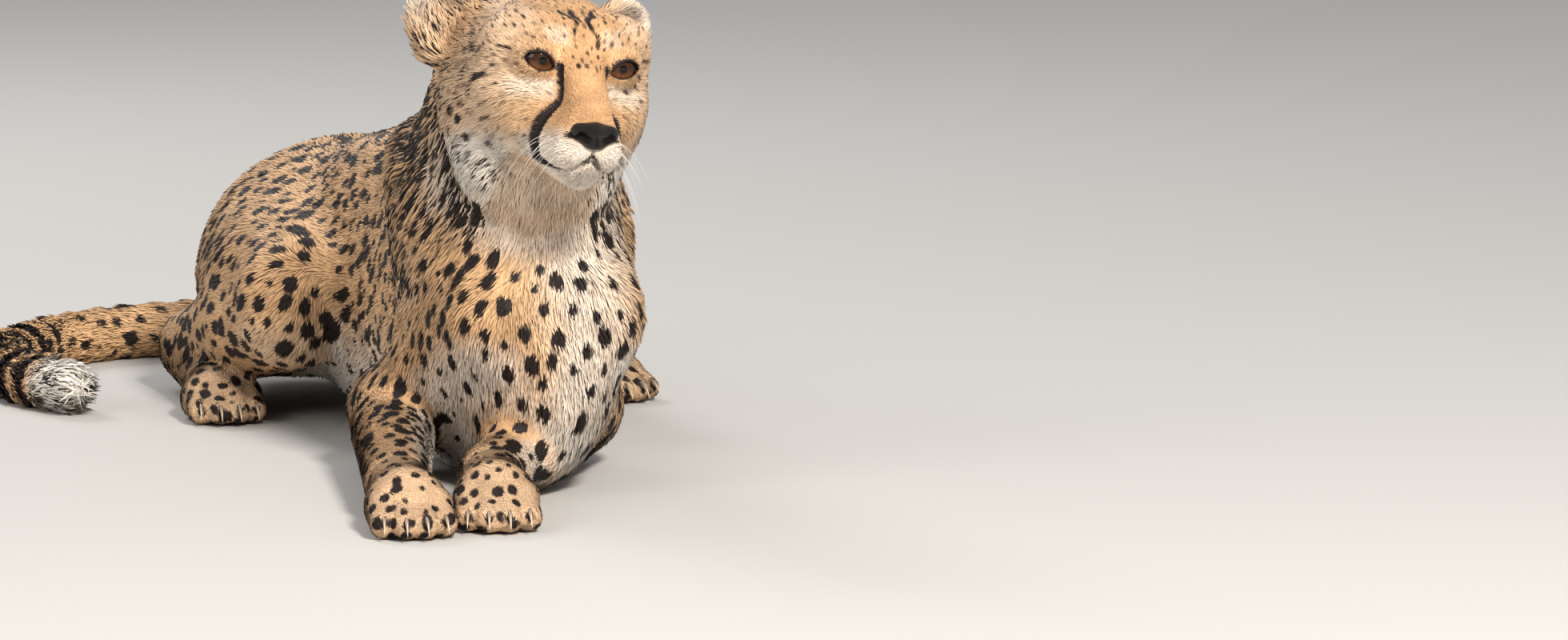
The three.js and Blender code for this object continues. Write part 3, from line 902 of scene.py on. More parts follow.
def dark_share(site):
    """How much of the coat is dark hair: nape, spine, under the ruff, the ears' roots and the cheeks; the
    nape reaches down the neck's side as painted shade, the band under the ruff is partly painted shadow of
    the head, and the ears' roots are partly painted shade in the cup.
    """
    n, k = site.normals, site.kinds
    # the nape's dark mane, its mask reaching down the neck's side as painted shade
    nape = k["neck"] * step(120, 150, site.z + site.y * 0.3) * step(-0.5, 0.2, n[:, 1] + n[:, 2] * 0.6)
    away = np.minimum.reduce([chain_distance(site.points, line)[0] for line in RUFF_LINES]) / MM
    # dark hair under the ruff together with painted shadow of the head, heavier on the animal's right side
    ruff_band_and_shadow = (1 - k["head"] - k["ear"]) * step(22, 9, away + 7 * site.rough[:, 1])
    ruff_band_and_shadow = ruff_band_and_shadow * (0.35 + 0.65 * step(16, -24, site.hx))
    # darker hair and painted shade low in the hollow of the ear's cup
    ear_root_and_cup_shade = k["ear"] * step(0.3, 0.9, site.cup) * step(0.75, 0.15, site.ear_height) * 0.4
    blotch = step(0.1, 0.6, noise(site.points, 7 * MM, 0.2)[:, 0])
    mottle = k["head"] * step(22, 40, site.hy) * step(24, 38, np.abs(site.hx)) * blotch * 0.42
    dark = np.maximum.reduce([nape * 0.75, on_spine(site) * 0.35, ruff_band_and_shadow * 0.8, ear_root_and_cup_shade, mottle])
    return np.clip(dark, 0, 1)


def spot_plan(site):
    """The spots' spacing, half width and length over width at each place, in millimetres."""
    k = site.kinds
    plan = np.tile((18.5, 5.8, 1.0), (len(site.points), 1))
    for weight, wanted in (
        (step(110, 170, site.y) * k["trunk"], (17.5, 5.8, 1.3)),
        (k["thigh"] * step(150, 250, site.y), (19.5, 6.3, 1.1)),
        (k["neck"], (15.5, 4.9, 1.4)),
        (step(50, 24, np.abs(site.x)) * step(0, -50, site.y) * k["trunk"], (18, 4.9, 1.3)),
        (step(-0.1, -0.6, site.normals[:, 2]) * k["trunk"], (30, 4.6, 1.3)),
        (k["leg"], (16.5, 5.8, 1.35)),
        (k["paw"], (13, 3.8, 1.25)),
        (k["tail"], (20, 6.0, 0.9)),
        (k["head"], (7.5, 1.2, 1.9)),
        (k["head"] * step(26, 50, site.hy) * step(16, -10, site.hz), (12.5, 3.3, 1.3)),
        (k["ear"], (30, 0.1, 1.0)),
    ):
        plan = plan + (np.array(wanted) - plan) * weight[:, None]
    return plan.T


def bare_of_spots(site):
    """Where no spots grow: the muzzle, the lower bridge of the nose, round the eyes and the ears."""
    head = site.kinds["head"] > 0.5
    hx = np.abs(site.hx)
    bridge = (hx < 15) & (site.hz < -4) & (site.hy < 20)
    muzzle = (site.hy < 4) & (site.hz < -24) & (hx < 34)
    eyes = (np.hypot(hx - EYE_SPACING / MM / 2, site.hz) < 15) & (site.hy < 20)
    chin = (site.hz < -50) & (hx < 34) | (site.hz < -84)
    throat = (site.kinds["neck"] > 0.4) & (np.hypot(site.hx, site.hy - 60) < 42) & (site.hz > -150)
    return head & (bridge | muzzle | eyes | chin) | (site.kinds["ear"] > 0.5) | throat


def lay_spots(site):
    """Spots strewn over the skin, none nearer to another than a share of the plan's spacing."""
    spacing, half, longer = spot_plan(site)
    skip = bare_of_spots(site)
    points = site.points
    keys = np.floor(points / SPOT_BOX).astype(int)
    boxes = {}
    kept = []

    def is_clear(i):
        x, y, z = keys[i]
        gap = spacing[i] * MM * CLOSEST_SPOTS
        for dx, dy, dz in np.ndindex(3, 3, 3):
            for j in boxes.get((x + dx - 1, y + dy - 1, z + dz - 1), ()):
                away = points[i] - points[j]
                if np.abs(away).max() < gap and np.linalg.norm(away) < gap:
                    return False
        return True

    for i in rng.permutation(len(points)):
        if not skip[i] and is_clear(i):
            kept.append(i)
            boxes.setdefault(tuple(keys[i]), []).append(i)
    kept = np.array(kept)
    size = half[kept] * rng.uniform(0.55, 1.2, len(kept)) * MM
    faint = site.kinds["head"][kept] > 0.5
    return {
        "deepest": np.where(faint, rng.uniform(-0.3, 0.7, len(kept)), MARK_FULL),
        "centre": points[kept], "normal": site.normals[kept], "along": site.lie[kept],
        "across": np.cross(site.normals[kept], site.lie[kept]),
        "half": size, "long": size * longer[kept] * rng.uniform(0.8, 1.4, len(kept)),
    }


def depth_in_spots(points, spots):
    """How deep inside the nearest spots each place lies, in millimetres; below zero outside them all."""
    tree = KDTree(len(spots["centre"]))
    for i, centre in enumerate(spots["centre"]):
        tree.insert(centre, i)
    tree.balance()
    box = 6 * MM
    keys = np.floor(points / box).astype(int)
    cells, of_cell = np.unique(keys, axis=0, return_inverse=True)
    of_cell = of_cell.reshape(-1)
    nearest = np.array([[i for _, i, _ in tree.find_n(c, 4)] for c in (cells + 0.5) * box])
    wobble = 1 + noise(points, 5 * MM)[:, 0] * 0.24 + noise(points, 11 * MM, 0.5)[:, 1] * 0.26
    best = np.full(len(points), FAR_OUT)
    for rank in range(nearest.shape[1]):
        i = nearest[of_cell, rank]
        away = points - spots["centre"][i]
        u = (away * spots["along"][i]).sum(axis=1) / spots["long"][i]
        v = (away * spots["across"][i]).sum(axis=1) / spots["half"][i]
        w = (away * spots["normal"][i]).sum(axis=1) / SPOT_DEPTH
        depth = (wobble - np.sqrt(u * u + v * v + w * w)) * spots["half"][i] / MM
        best = np.maximum(best, np.minimum(depth, spots["deepest"][i]))
    return best


def tail_share(points):
    """The share of the way along the tail, or nothing away from it."""
    away, share = chain_distance(points, TAIL_LINE * MM)
    return np.where(away < TAIL_WITHIN, share, 0)


def line_depth(points, route, half_widths):
    """How deep inside a drawn line each place lies, in millimetres; its half widths run along it."""
    away, share = chain_distance(points, route)
    width = np.interp(share, np.linspace(0, 1, len(half_widths)), half_widths)
    return width - away / MM


EYE_TAIL = [(37, 7, 3), (43, 15, 4.5), (50, 27, 5)]
NOSTRIL_WING = [(10.8, -46.6, -45.8), (17, -40.5, -46.8)]
BROW_STREAKS = [
    [(-12, 30, 27), (-13, 25, 20.5), (-12.5, 15, 13)], [(12, 30, 27), (13, 25, 20.5), (12.5, 15, 13)],
    [(13, 36, 33), (11, 24, 22), (8.7, 12, 11)], [(-3, 34, 32), (-4, 26, 24), (-3, 18, 16)],
]
TEAR_WIDTHS = (3.4, 2.7, 2.7, 2.8, 3.2, 3.9, 4.2, 4.2, 4.2)
DRAWN_LINES = [        # routes with the half widths along them, in millimetres
    (FACE_LINES["mouth"], (4.2, 2.8, 0.8, 1.75, 2.7, 1.75, 0.8, 2.8, 4.2)),
    (FACE_LINES["philtrum"], (1.3, 0.9, 1.1)),
    (FACE_LINES["tear_left"], TEAR_WIDTHS),
    (FACE_LINES["tear_right"], TEAR_WIDTHS),
    *[(on_skin(finer(streak)), (0.8, 2.0, 2.2, 1.0)) for streak in BROW_STREAKS],
    *[(on_skin(finer(tail)), (2.2, 1.7, 0.6)) for tail in (EYE_TAIL, mirrored(EYE_TAIL))],
    *[([on_head(*place) for place in wing], (3.4, 2.6)) for wing in (NOSTRIL_WING, mirrored(NOSTRIL_WING))],
]


def face_lines(points):
    """Depth inside the face's drawn lines and the rims of the eyes, in millimetres."""
    depth = np.full(len(points), FAR_OUT)
    near = close_to(FACE_MIDDLE, points, LINES_WITHIN)
    if not near.any():
        return depth
    face = points[near]
    drawn = [line_depth(face, route, half_widths) for route, half_widths in DRAWN_LINES]
    for side in (-1, 1):
        centre = eye_centre(side)
        height = (face - centre) @ eye_axes(side)[:, 2] / MM
        rim = 1.5 + 1.1 * step(-3, 4, height)
        by_eye = close_to(centre, face, EYE_RADIUS + 6 * MM)
        drawn.append(np.where(by_eye, rim - eye_opening(face, side) / MM, FAR_OUT))
    depth[near] = np.maximum.reduce(drawn) + noise(face, 3 * MM)[:, 0] * 0.35
    return depth


def drawn_markings(site):
    """Depth inside the face's lines, the ears' backs, the tail's rings and the toes' dark tips."""
    k = site.kinds
    ear_back = 12 * step(0.1, -0.5, site.cup) * step(1.0, 0.55, site.ear_height) * k["ear"] - 4
    along_rings = (site.tail - TAIL_RINGS_FROM) / (TAIL_RINGS_TO - TAIL_RINGS_FROM)
    rings = (np.abs(along_rings * TAIL_RINGS % 1 - 0.5) - 0.27) * 60
    ringed = (along_rings > 0) & (along_rings < 1) & (rings > 0) & (k["tail"] > 0.5)
    depth = np.maximum.reduce([
        face_lines(site.points),
        np.where(k["ear"] > 0.4, ear_back, FAR_OUT),
        np.where(ringed, rings, FAR_OUT),
    ])
    for paw in TOES.values():
        for toe in paw:
            front = toe["tip"] + toe["direction"] * 9 + (0, 0, 3)
            away = np.linalg.norm(site.points - front * MM, axis=1) / MM
            depth = np.maximum(depth, 3.6 - away)
    return depth


# ---------------------------------------------------------------- colours and materials
def linear(red, green, blue):
    """A screen colour from 0 to 255 as linear light."""
    share = np.array([red, green, blue]) / 255
    return (*np.where(share <= 0.04045, share / 12.92, ((share + 0.055) / 1.055) ** 2.4), 1.0)


BUFF = linear(218, 175, 129)
RUST = linear(222, 172, 124)
CREAM = linear(244, 236, 224)
NEAR_BLACK = linear(36, 27, 24)


def new_material(name, slot):
    material = bpy.data.materials.new(name)
    material.use_nodes = True
    material["slot"] = slot
    shader = material.node_tree.nodes["Principled BSDF"]
    return material, material.node_tree, shader


def set_values(node, values):
    for name, value in values.items():
        node.inputs[name].default_value = value


def attribute(tree, name):
    node = tree.nodes.new("ShaderNodeAttribute")
    node.attribute_name = name
    return node.outputs["Fac"]


def mixed(tree, share, a, b, kind="MIX"):
    node = tree.nodes.new("ShaderNodeMix")
    node.data_type = "RGBA"
    node.blend_type = kind
    for socket, value in ((node.inputs[0], share), (node.inputs[6], a), (node.inputs[7], b)):
        if isinstance(value, bpy.types.NodeSocket):
            tree.links.new(value, socket)
        else:
            socket.default_value = value
    return node.outputs[2]


def ranged(tree, value, low, high, to_low=0.0, to_high=1.0):
    node = tree.nodes.new("ShaderNodeMapRange")
    node.interpolation_type = "SMOOTHSTEP"
    tree.links.new(value, node.inputs["Value"])
    set_values(node, {"From Min": low, "From Max": high, "To Min": to_low, "To Max": to_high})
    return node.outputs["Result"]


def coat_colour():
    """The node group that skin and coat share: ground colour, shade along the hair, and dark markings."""
    group = bpy.data.node_groups.new("coat_colour", "ShaderNodeTree")
    group.interface.new_socket("Color", in_out="OUTPUT", socket_type="NodeSocketColor")
    out = group.nodes.new("NodeGroupOutput")
    ground = mixed(group, attribute(group, "rust"), BUFF, RUST)
    ground = mixed(group, attribute(group, "pale"), ground, CREAM)
    shade = ranged(group, attribute(group, "shade"), 0, 1, 0.62, 1.18)
    grey = group.nodes.new("ShaderNodeCombineColor")
    for socket in grey.inputs:
        group.links.new(shade, socket)
    ground = mixed(group, 1.0, ground, grey.outputs["Color"], "MULTIPLY")
    root = ranged(group, attribute(group, "along"), 0, 0.8, 1, 0)
    ground = mixed(group, root, ground, mixed(group, 1.0, ground, (0.74, 0.68, 0.64, 1), "MULTIPLY"))
    dark = ranged(group, attribute(group, "mark"), -0.7, 0.7)
    colour = mixed(group, dark, ground, NEAR_BLACK)
    group.links.new(colour, out.inputs["Color"])
    return group


def raise_surface(tree, shader, height, strength, distance, invert=False):
    """Bumps a material's surface by a texture's value."""
    raised = tree.nodes.new("ShaderNodeBump")
    raised.invert = invert
    set_values(raised, {"Strength": strength, "Distance": distance})
    tree.links.new(height, raised.inputs["Height"])
    tree.links.new(raised.outputs["Normal"], shader.inputs["Normal"])


def coat_material(name, group, roughness, bump=0.0):
    material, tree, shader = new_material(name, "coat")
    node = tree.nodes.new("ShaderNodeGroup")
    node.node_tree = group
    tree.links.new(node.outputs["Color"], shader.inputs["Base Color"])
    set_values(shader, {"Roughness": roughness, "Specular IOR Level": 0.25})
    if bump:
        grain = tree.nodes.new("ShaderNodeTexNoise")
        set_values(grain, {"Scale": 900, "Detail": 3})
        raise_surface(tree, shader, grain.outputs["Fac"], bump, 0.4 * MM)
    return material


def leather_material():
    material, tree, shader = new_material("nose_leather", "nose_leather")
    set_values(shader, {"Base Color": linear(26, 19, 18), "Roughness": 0.4, "Specular IOR Level": 0.45})
    pebbles = tree.nodes.new("ShaderNodeTexVoronoi")
    set_values(pebbles, {"Scale": 1100})
    raise_surface(tree, shader, pebbles.outputs["Distance"], 0.9, 0.5 * MM, invert=True)
    return material


def claw_material():
    material, tree, shader = new_material("claw", "claw")
    shade = ranged(tree, attribute(tree, "along"), 0.1, 1.0)
    colour = mixed(tree, shade, linear(96, 78, 66), linear(206, 186, 160))
    tree.links.new(colour, shader.inputs["Base Color"])
    set_values(shader, {"Roughness": 0.35})
    return material


PUPIL_EDGE = 2.6       # each measured over the eyeball from its axis, in millimetres
IRIS_EDGE = 9.0
WHITE_EDGE = 11.2


def eye_material():
    """Amber iris with fine rays, dark rim and round pupil, under a wet surface; its upper part is darkened as
    painted shade of the upper lid.
    """
    material, tree, shader = new_material("eye", "eye")
    from_axis = attribute(tree, "off_axis")
    rays = tree.nodes.new("ShaderNodeTexNoise")
    rays.noise_dimensions = "1D"
    set_values(rays, {"Scale": 9, "Detail": 4})
    tree.links.new(attribute(tree, "round"), rays.inputs["W"])
    bright = ranged(tree, rays.outputs["Fac"], 0.3, 0.75)
    streaks = mixed(tree, bright, linear(88, 52, 27), linear(140, 88, 46))
    # painted shade: the iris darkens towards its top, as if under the upper lid
    low = ranged(tree, attribute(tree, "high"), -6, 0.5, 1, 0)
    ring = mixed(tree, low, linear(48, 25, 15), streaks)
    inner = mixed(tree, ranged(tree, from_axis, PUPIL_EDGE, 6.0), linear(58, 32, 18), ring)
    limbus = mixed(tree, ranged(tree, from_axis, IRIS_EDGE, 10.8), inner, linear(18, 12, 10))
    white = mixed(tree, ranged(tree, from_axis, WHITE_EDGE, 12.2), limbus, linear(52, 38, 32))
    pupil = mixed(tree, ranged(tree, from_axis, PUPIL_EDGE, 3.2), linear(3, 2, 2), white)
    tree.links.new(pupil, shader.inputs["Base Color"])
    set_values(shader, {"Roughness": 0.35, "Specular IOR Level": 0.0})
    set_values(shader, {"Coat Weight": 0.6, "Coat Roughness": 0.03})
    return material


def plain_material(name, slot, colour, roughness):
    material, _, shader = new_material(name, slot)
    set_values(shader, {"Base Color": colour, "Roughness": roughness})
    return material


# ---------------------------------------------------------------- making meshes
def linked(name, data):
    """A new object in the scene."""
    item = bpy.data.objects.new(name, data)
    bpy.context.scene.collection.objects.link(item)
    return item


def mesh_object(name, points, faces, material, floats=None, normals=None):
    """A mesh from places in the animal's own axes; faces all have the same number of corners."""
    mesh = bpy.data.meshes.new(name)
    faces = np.asarray(faces, np.int32)
    sides = faces.shape[1]
    mesh.vertices.add(len(points))
    mesh.vertices.foreach_set("co", (points + SHIFT).astype(np.float32).ravel())
    mesh.loops.add(faces.size)
    mesh.loops.foreach_set("vertex_index", faces.ravel())
    mesh.polygons.add(len(faces))
    mesh.polygons.foreach_set("loop_start", np.arange(0, faces.size, sides, dtype=np.int32))
    mesh.update(calc_edges=True)
    mesh.polygons.foreach_set("use_smooth", np.ones(len(faces), bool))
    for key, values in (floats or {}).items():
        layer = mesh.attributes.new(key, "FLOAT", "POINT")
        layer.data.foreach_set("value", np.asarray(values, np.float32))
    if normals is not None:
        mesh.normals_split_custom_set_from_vertices(normals.astype(np.float32))
    mesh.materials.append(material)
    return linked(name, mesh)


def own(item, replaces=()):
    """Binds a piece to the frame: it rides on the one body and may stand for CAD nodes."""
    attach(item, "root")
    if replaces:
        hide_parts(*replaces)


def ball(segments, rings):
    """A unit ball's vertices and triangles, with its poles along Y."""
    points = [(0, -1, 0), (0, 1, 0)]
    for r in range(1, rings):
        tilt = math.pi * r / rings
        for s in range(segments):
            turn = 2 * math.pi * s / segments
            out = math.sin(tilt)
            points.append((out * math.cos(turn), -math.cos(tilt), out * math.sin(turn)))
    faces = []
    last = 2 + (rings - 2) * segments
    for s in range(segments):
        after = (s + 1) % segments
        faces.append((0, 2 + s, 2 + after))
        faces.append((1, last + after, last + s))
        for r in range(rings - 2):
            a = 2 + r * segments
            b = a + segments
            faces.append((a + s, b + s, b + after))
            faces.append((a + s, b + after, a + after))
    return np.array(points), faces


def eyes(material):
    for name, side in SIDES.items():
        points, faces = ball(56, 40)
        turn = Euler((0.05, 0, side * 0.05)).to_matrix()
        axis = HEAD_TURN @ np.array(turn)
        off_axis = np.arccos(np.clip(-points[:, 1], -1, 1)) * EYE_RADIUS / MM
        around = np.arctan2(points[:, 2], points[:, 0])
        bulge = 1 + 0.04 * step(0.8, 0.2, off_axis * MM / EYE_RADIUS)
        place = eye_centre(side) + points * (bulge * (EYE_RADIUS - 0.3 * MM))[:, None] @ axis.T
        given = {"off_axis": off_axis, "round": around, "high": points[:, 2] * EYE_RADIUS / MM}
        item = mesh_object("eyeball_" + name, place, faces, material, given)
        own(item, ["eye_" + name])


def tube(route, radii, sides, flat=1.0, up=(0, 0, 1)):
    """A closed tapering tube along a route; flat squeezes it sideways.

    Returns its points, its faces and each point's share of the way along it.
    """
    route = np.asarray(route, float)
    ahead_of = unit(np.gradient(route, axis=0))
    across = unit(np.cross(ahead_of, up))
    over = np.cross(across, ahead_of)
    turns = np.linspace(0, 2 * math.pi, sides, endpoint=False)
    sideways = np.cos(turns)[None, :, None] * across[:, None] * flat
    ring = sideways + np.sin(turns)[None, :, None] * over[:, None]
    points = (route[:, None] + ring * np.asarray(radii)[:, None, None]).reshape(-1, 3)
    count = len(route)
    faces = []
    for r in range(count - 1):
        for s in range(sides):
            a, b = r * sides + s, r * sides + (s + 1) % sides
            faces += [(a, b, b + sides), (a, b + sides, a + sides)]
    points = np.vstack([points, route[0], route[-1]])
    for s in range(sides):
        after = (s + 1) % sides
        faces.append((count * sides, after, s))
        faces.append((count * sides + 1, (count - 1) * sides + s, (count - 1) * sides + after))
    share = np.append(np.repeat(np.linspace(0, 1, count), sides), [0, 1])
    return points, np.array(faces), share


def joined_tubes(tubes):
    """Several tubes as one mesh: points, faces, share along."""
    points, faces, shares = [], [], []
    start = 0
    for p, f, s in tubes:
        points.append(p)
        faces.append(f + start)
        shares.append(s)
        start += len(p)
    return np.vstack(points), np.vstack(faces), np.concatenate(shares)


def claws(material):
    for paw, found in TOES.items():
        tubes = []
        for toe in found:
            d = np.array([toe["direction"][0], toe["direction"][1], 0.0])
            root = toe["tip"] * [1, 1, 0] + d * 4 + (0, 0, 14.5)
            t = np.linspace(0, 1, 10)[:, None]
            mid = root + d * 9 + (0, 0, 2.5)
            tip = root + d * (CLAW_LENGTH / MM * 0.92 + 2) + (0, 0, -9)
            route = (1 - t) ** 2 * root + 2 * t * (1 - t) * mid + t * t * tip
            radii = 2.6 * (1 - t[:, 0] ** 1.6 * 0.92)
            tubes.append(tube(route * MM, radii * MM, 10, flat=0.62))
        points, faces, share = joined_tubes(tubes)
        item = mesh_object("claws_" + paw, points, faces, material, {"along": share})
        own(item, [f"claw_{paw}_{i}" for i in range(1, 5)])


NOSTRIL = ((6.2, -49.2, -48.6), NOSTRIL_WING[0], 2.1, 2.7)
NOSTRIL_SLIT = (*NOSTRIL_WING, 2.5, 1.5)
NOSE_CELL = 0.75 * MM
NOSE_CELLS = 70        # corners along each side of the nose leather's grid


def nose_field(points):
    """Distance-like field of the nose leather: broad top, tapering middle, two comma-shaped nostrils."""
    q = (points - on_head(0, 0, 0)) @ HEAD_TURN / MM
    x = np.abs(q[:, 0])
    q = np.stack([x, q[:, 1], q[:, 2]], axis=1)

    def pill(a, b, ra, rb):
        away, t = line_distance(q, np.array(a, float), np.array(b, float))
        return away - (ra + (rb - ra) * t)

    total = pill((0, -44, -41.5), (11.5, -43, -43.5), 5.0, 5.2)
    total = soft_min(total, pill((0, -46, -45), (0, -46.5, -51.5), 7.0, 3.6), 4)
    total = soft_min(total, pill((11, -43, -45), (4.5, -46, -51), 4.4, 3.4), 4)
    total = soft_max(total, -np.minimum(pill(*NOSTRIL), pill(*NOSTRIL_SLIT)), 1.2)
    crease = np.hypot(x, np.maximum(q[:, 2] + 48, 0) + np.maximum(q[:, 1] + 50, 0))
    return soft_max(total, 0.55 - crease, 1.2) * MM


def nose(material):
    low = on_head(0, -44, -40) - 26 * MM
    grid = low + grid_of(*[np.arange(NOSE_CELLS)] * 3) * NOSE_CELL
    vertices, faces = surface_nets(nose_field(grid).reshape([NOSE_CELLS] * 3))
    points = settle_on(nose_field, low + vertices * NOSE_CELL, longest=NOSE_CELL)
    normals = normals_of(nose_field, points)
    own(mesh_object("nose_pad", points, faces, material, normals=normals), ["nose"])


def whiskers(material):
    """Long pale bristles: three rows on each side of the muzzle and a few over each eye."""
    planned = []
    for side in (-1, 1):
        for row in range(3):
            for i in range(4 if row == 1 else 3):
                start = (side * (17 + 2.6 * i), -30 + 7.5 * i, -52 - 4.5 * row + 0.4 * i)
                out = (side * rng.uniform(0.7, 1.0), rng.uniform(-0.2, 0.4), -0.2 - 0.2 * row)
                planned.append((start, out, rng.uniform(14, 30), rng.uniform(0.6, 1.1), 0.15))
        for i in range(3):
            start = (side * (20 + 5 * i), 14 + 2 * i, 17 + i)
            planned.append((start, (side * (0.3 + 0.25 * i), -0.25, 0.8), rng.uniform(14, 24), 0.35, 0.16))
    starts = on_skin([start for start, *_ in planned])
    tubes = [bristle(start, HEAD_TURN @ np.array(out), length * MM, sag, radius * MM)
             for start, (_, out, length, sag, radius) in zip(starts, planned)]
    points, faces, share = joined_tubes(tubes)
    own(mesh_object("whiskers", points, faces, material, {"along": share}))


def bristle(start, out, length, sag, radius):
    out = out / np.linalg.norm(out)
    t = np.linspace(0, 1, 12)[:, None]
    route = start + (t - 0.03) * out * length + t ** 2 * sag * length * np.array([0, 0.25, -1.0])
    return tube(route, radius * (1 - 0.85 * t[:, 0]), 4, up=(0.3, 0.2, 1))


# ---------------------------------------------------------------- the skin and its coat
SKIN_NODES = [
    "head", "neck", "chest", "loin", "pelvis", "tail_base", "tail_middle", "tail_tip",
    *[f"{part}_{side}" for side in SIDES for part in (
        "ear", "upper_arm", "forearm", "paw_fore", "thigh", "shank", "paw_hind")],
]
UV_NAME = "OFBake"


def unwrap(item):
    """Lays the skin's own surface out flat, in islands that don't overlap."""
    bpy.context.view_layer.objects.active = item
    item.select_set(True)
    item.data.uv_layers.new(name=UV_NAME)
    bpy.ops.object.mode_set(mode="EDIT")
    bpy.ops.mesh.select_all(action="SELECT")
    bpy.ops.uv.smart_project(angle_limit=1.15, island_margin=0.002, scale_to_bounds=True)
    bpy.ops.object.mode_set(mode="OBJECT")
    item.select_set(False)
    places = np.empty(len(item.data.loops) * 2, np.float32)
    item.data.uv_layers[UV_NAME].uv.foreach_get("vector", places)
    return places.reshape(-1, 4, 2)


def strewn(points, faces, density):
    """Places on the mesh, `density` of them to a square millimetre at each face, evenly strewn."""
    areas = []
    for half in ([0, 1, 2], [0, 2, 3]):
        a, b, c = points[faces[:, half]].transpose(1, 0, 2)
        areas.append(np.linalg.norm(np.cross(b - a, c - a), axis=1) / 2)
    wanted = (np.stack(areas, axis=1) * density[:, None] / MM ** 2).ravel()
    run = np.cumsum(wanted)
    picks = np.searchsorted(run, np.arange(rng.random(), run[-1], 1.0))
    face, half = picks // 2, picks % 2
    a, b = rng.random(len(face)), rng.random(len(face))
    over = a + b > 1
    a[over], b[over] = 1 - a[over], 1 - b[over]
    weights = np.zeros((len(face), 4))
    weights[:, 0] = 1 - a - b
    first = half == 0
    weights[first, 1], weights[first, 2] = a[first], b[first]
    weights[~first, 2], weights[~first, 3] = a[~first], b[~first]
    return face, weights


def blend(values, corners, weights):
    """The mesh's values at places between the corners of its faces."""
    return (values[corners] * weights.reshape(*weights.shape, *[1] * (values.ndim - 1))).sum(axis=1)


TUFT_WIDTH = 1.15      # in millimetres
TUFT_LIFT = 0.23       # off the skin, in radians
TUFT_DENSITY = 0.27    # tufts to a square millimetre


def hair_growth(site):
    """How the hair grows at each place: its length and width, its lift off the skin, and its density."""
    k = site.kinds
    length = site.coat / MM * (1 - 0.25 * (k["trunk"] + k["thigh"]) - 0.2 * k["leg"])
    width = np.full(len(length), TUFT_WIDTH)
    lift = np.full(len(length), TUFT_LIFT)
    density = np.full(len(length), TUFT_DENSITY)
    head = k["head"]
    cheeks = head * step(6, 12, length)
    density = density + head * 0.9 - cheeks * 0.55 + k["ear"] * 1.0 + k["paw"] * 0.5 + k["leg"] * 0.16
    width = width - head * 0.5 + cheeks * 0.25 - k["paw"] * 0.35 - k["leg"] * 0.15 - k["ear"] * 0.6
    in_cup = k["ear"] * step(0.1, 0.5, site.cup)
    length = length + in_cup * 4 * step(1.05, 0.6, site.ear_height)
    chin = head * step(-60, -72, site.hz) * step(26, 0, site.hy)
    lift = lift + k["neck"] * 0.04 + head * 0.03 + chin * 0.15 + k["ear"] * 0.15 + in_cup * 0.2
    hidden = step(5, 1.5, site.z) * step(-0.3, -0.7, site.normals[:, 2])
    return length, width, lift, density * (1 - hidden)


BARE_WITHIN = 80 * MM  # how far from the lens's centre the face's bare parts reach
FAR_CLEAR = 30.0       # a distance that means nothing bare is near, in millimetres


def clear_of_face(points):
    """How far places lie from the eyes' openings, the lips and the nose leather, in millimetres."""
    clear = np.full(len(points), FAR_CLEAR)
    near = close_to(FACE_LENS.centre, points, BARE_WITHIN)
    if not near.any():
        return clear
    face = points[near]
    lips, _ = chain_distance(face, FACE_LINES["mouth"][2:7])
    gaps = [nose_field(face) / MM + 0.5, lips / MM - 0.6]
    for side in (-1, 1):
        by_eye = close_to(eye_centre(side), face, EYE_RADIUS + 8 * MM)
        gaps.append(np.where(by_eye, eye_opening(face, side) / MM, FAR_CLEAR))
    clear[near] = np.minimum.reduce(gaps)
    return clear


def clumps(site, size):
    """For each place, the nearest of the points that its hairs lean towards."""
    q = site.points / size
    base = np.floor(q).astype(int)
    best = np.full(len(q), 9.0)
    centre = np.zeros_like(q)
    for corner in np.ndindex(3, 3, 3):
        cell = base + corner - 1
        i = cell % NOISE_SIDE
        point = cell + NOISE_TABLE[i[:, 0], i[:, 1], i[:, 2]]
        d = ((q - point) ** 2).sum(axis=1)
        nearer = d < best
        best = np.where(nearer, d, best)
        centre = np.where(nearer[:, None], point, centre)
    return centre * size


# Each corner of a tuft: its share along the hair, across its width and of its lift off the skin.
SHORT_TUFT = {
    "name": "short", "size": 0.95, "wide": 1.0,
    "along": (-0.02, 0.42, 0.42, 1.0), "across": (0, -0.5, 0.5, 0), "rise": (-0.06, 1.25, 1.25, 0.85),
    "faces": ((0, 1, 2), (1, 3, 2), (0, 2, 3), (0, 3, 1)),
    "patch": ((0, -1), (-1, 0), (1, 0), (0, 1)),
}
LONG_TUFT = {
    "name": "long", "size": 1.12, "wide": 1.25,
    "along": (-0.02, 0.3, 0.3, 0.66, 0.66, 1.0), "across": (0, -0.5, 0.5, -0.34, 0.34, 0),
    "rise": (-0.06, 1.4, 1.4, 1.15, 1.15, 0.75),
    "faces": ((0, 1, 2), (1, 3, 4), (1, 4, 2), (3, 5, 4), (0, 2, 4), (0, 4, 5), (0, 5, 3), (0, 3, 1)),
    "patch": ((0, -1), (-1, -0.4), (1, -0.4), (-1, 0.4), (1, 0.4), (0, 1)),
}
PATCH = 0.0015         # half the width of a tuft's patch on the map
PIECE_TRIANGLES = 190000
TINT = 0.34            # how far a tuft's shading can lean to its own side
LONG_SHARE = 0.3       # the most of the tufts at a place that are long ones
HAIR_FROM = 1.2        # how far from the face's bare parts tufts begin, in millimetres
CLUMP = 7 * MM         # how far apart the points lie that long hairs lean towards
LOWEST_HAIR = 0.3 * MM


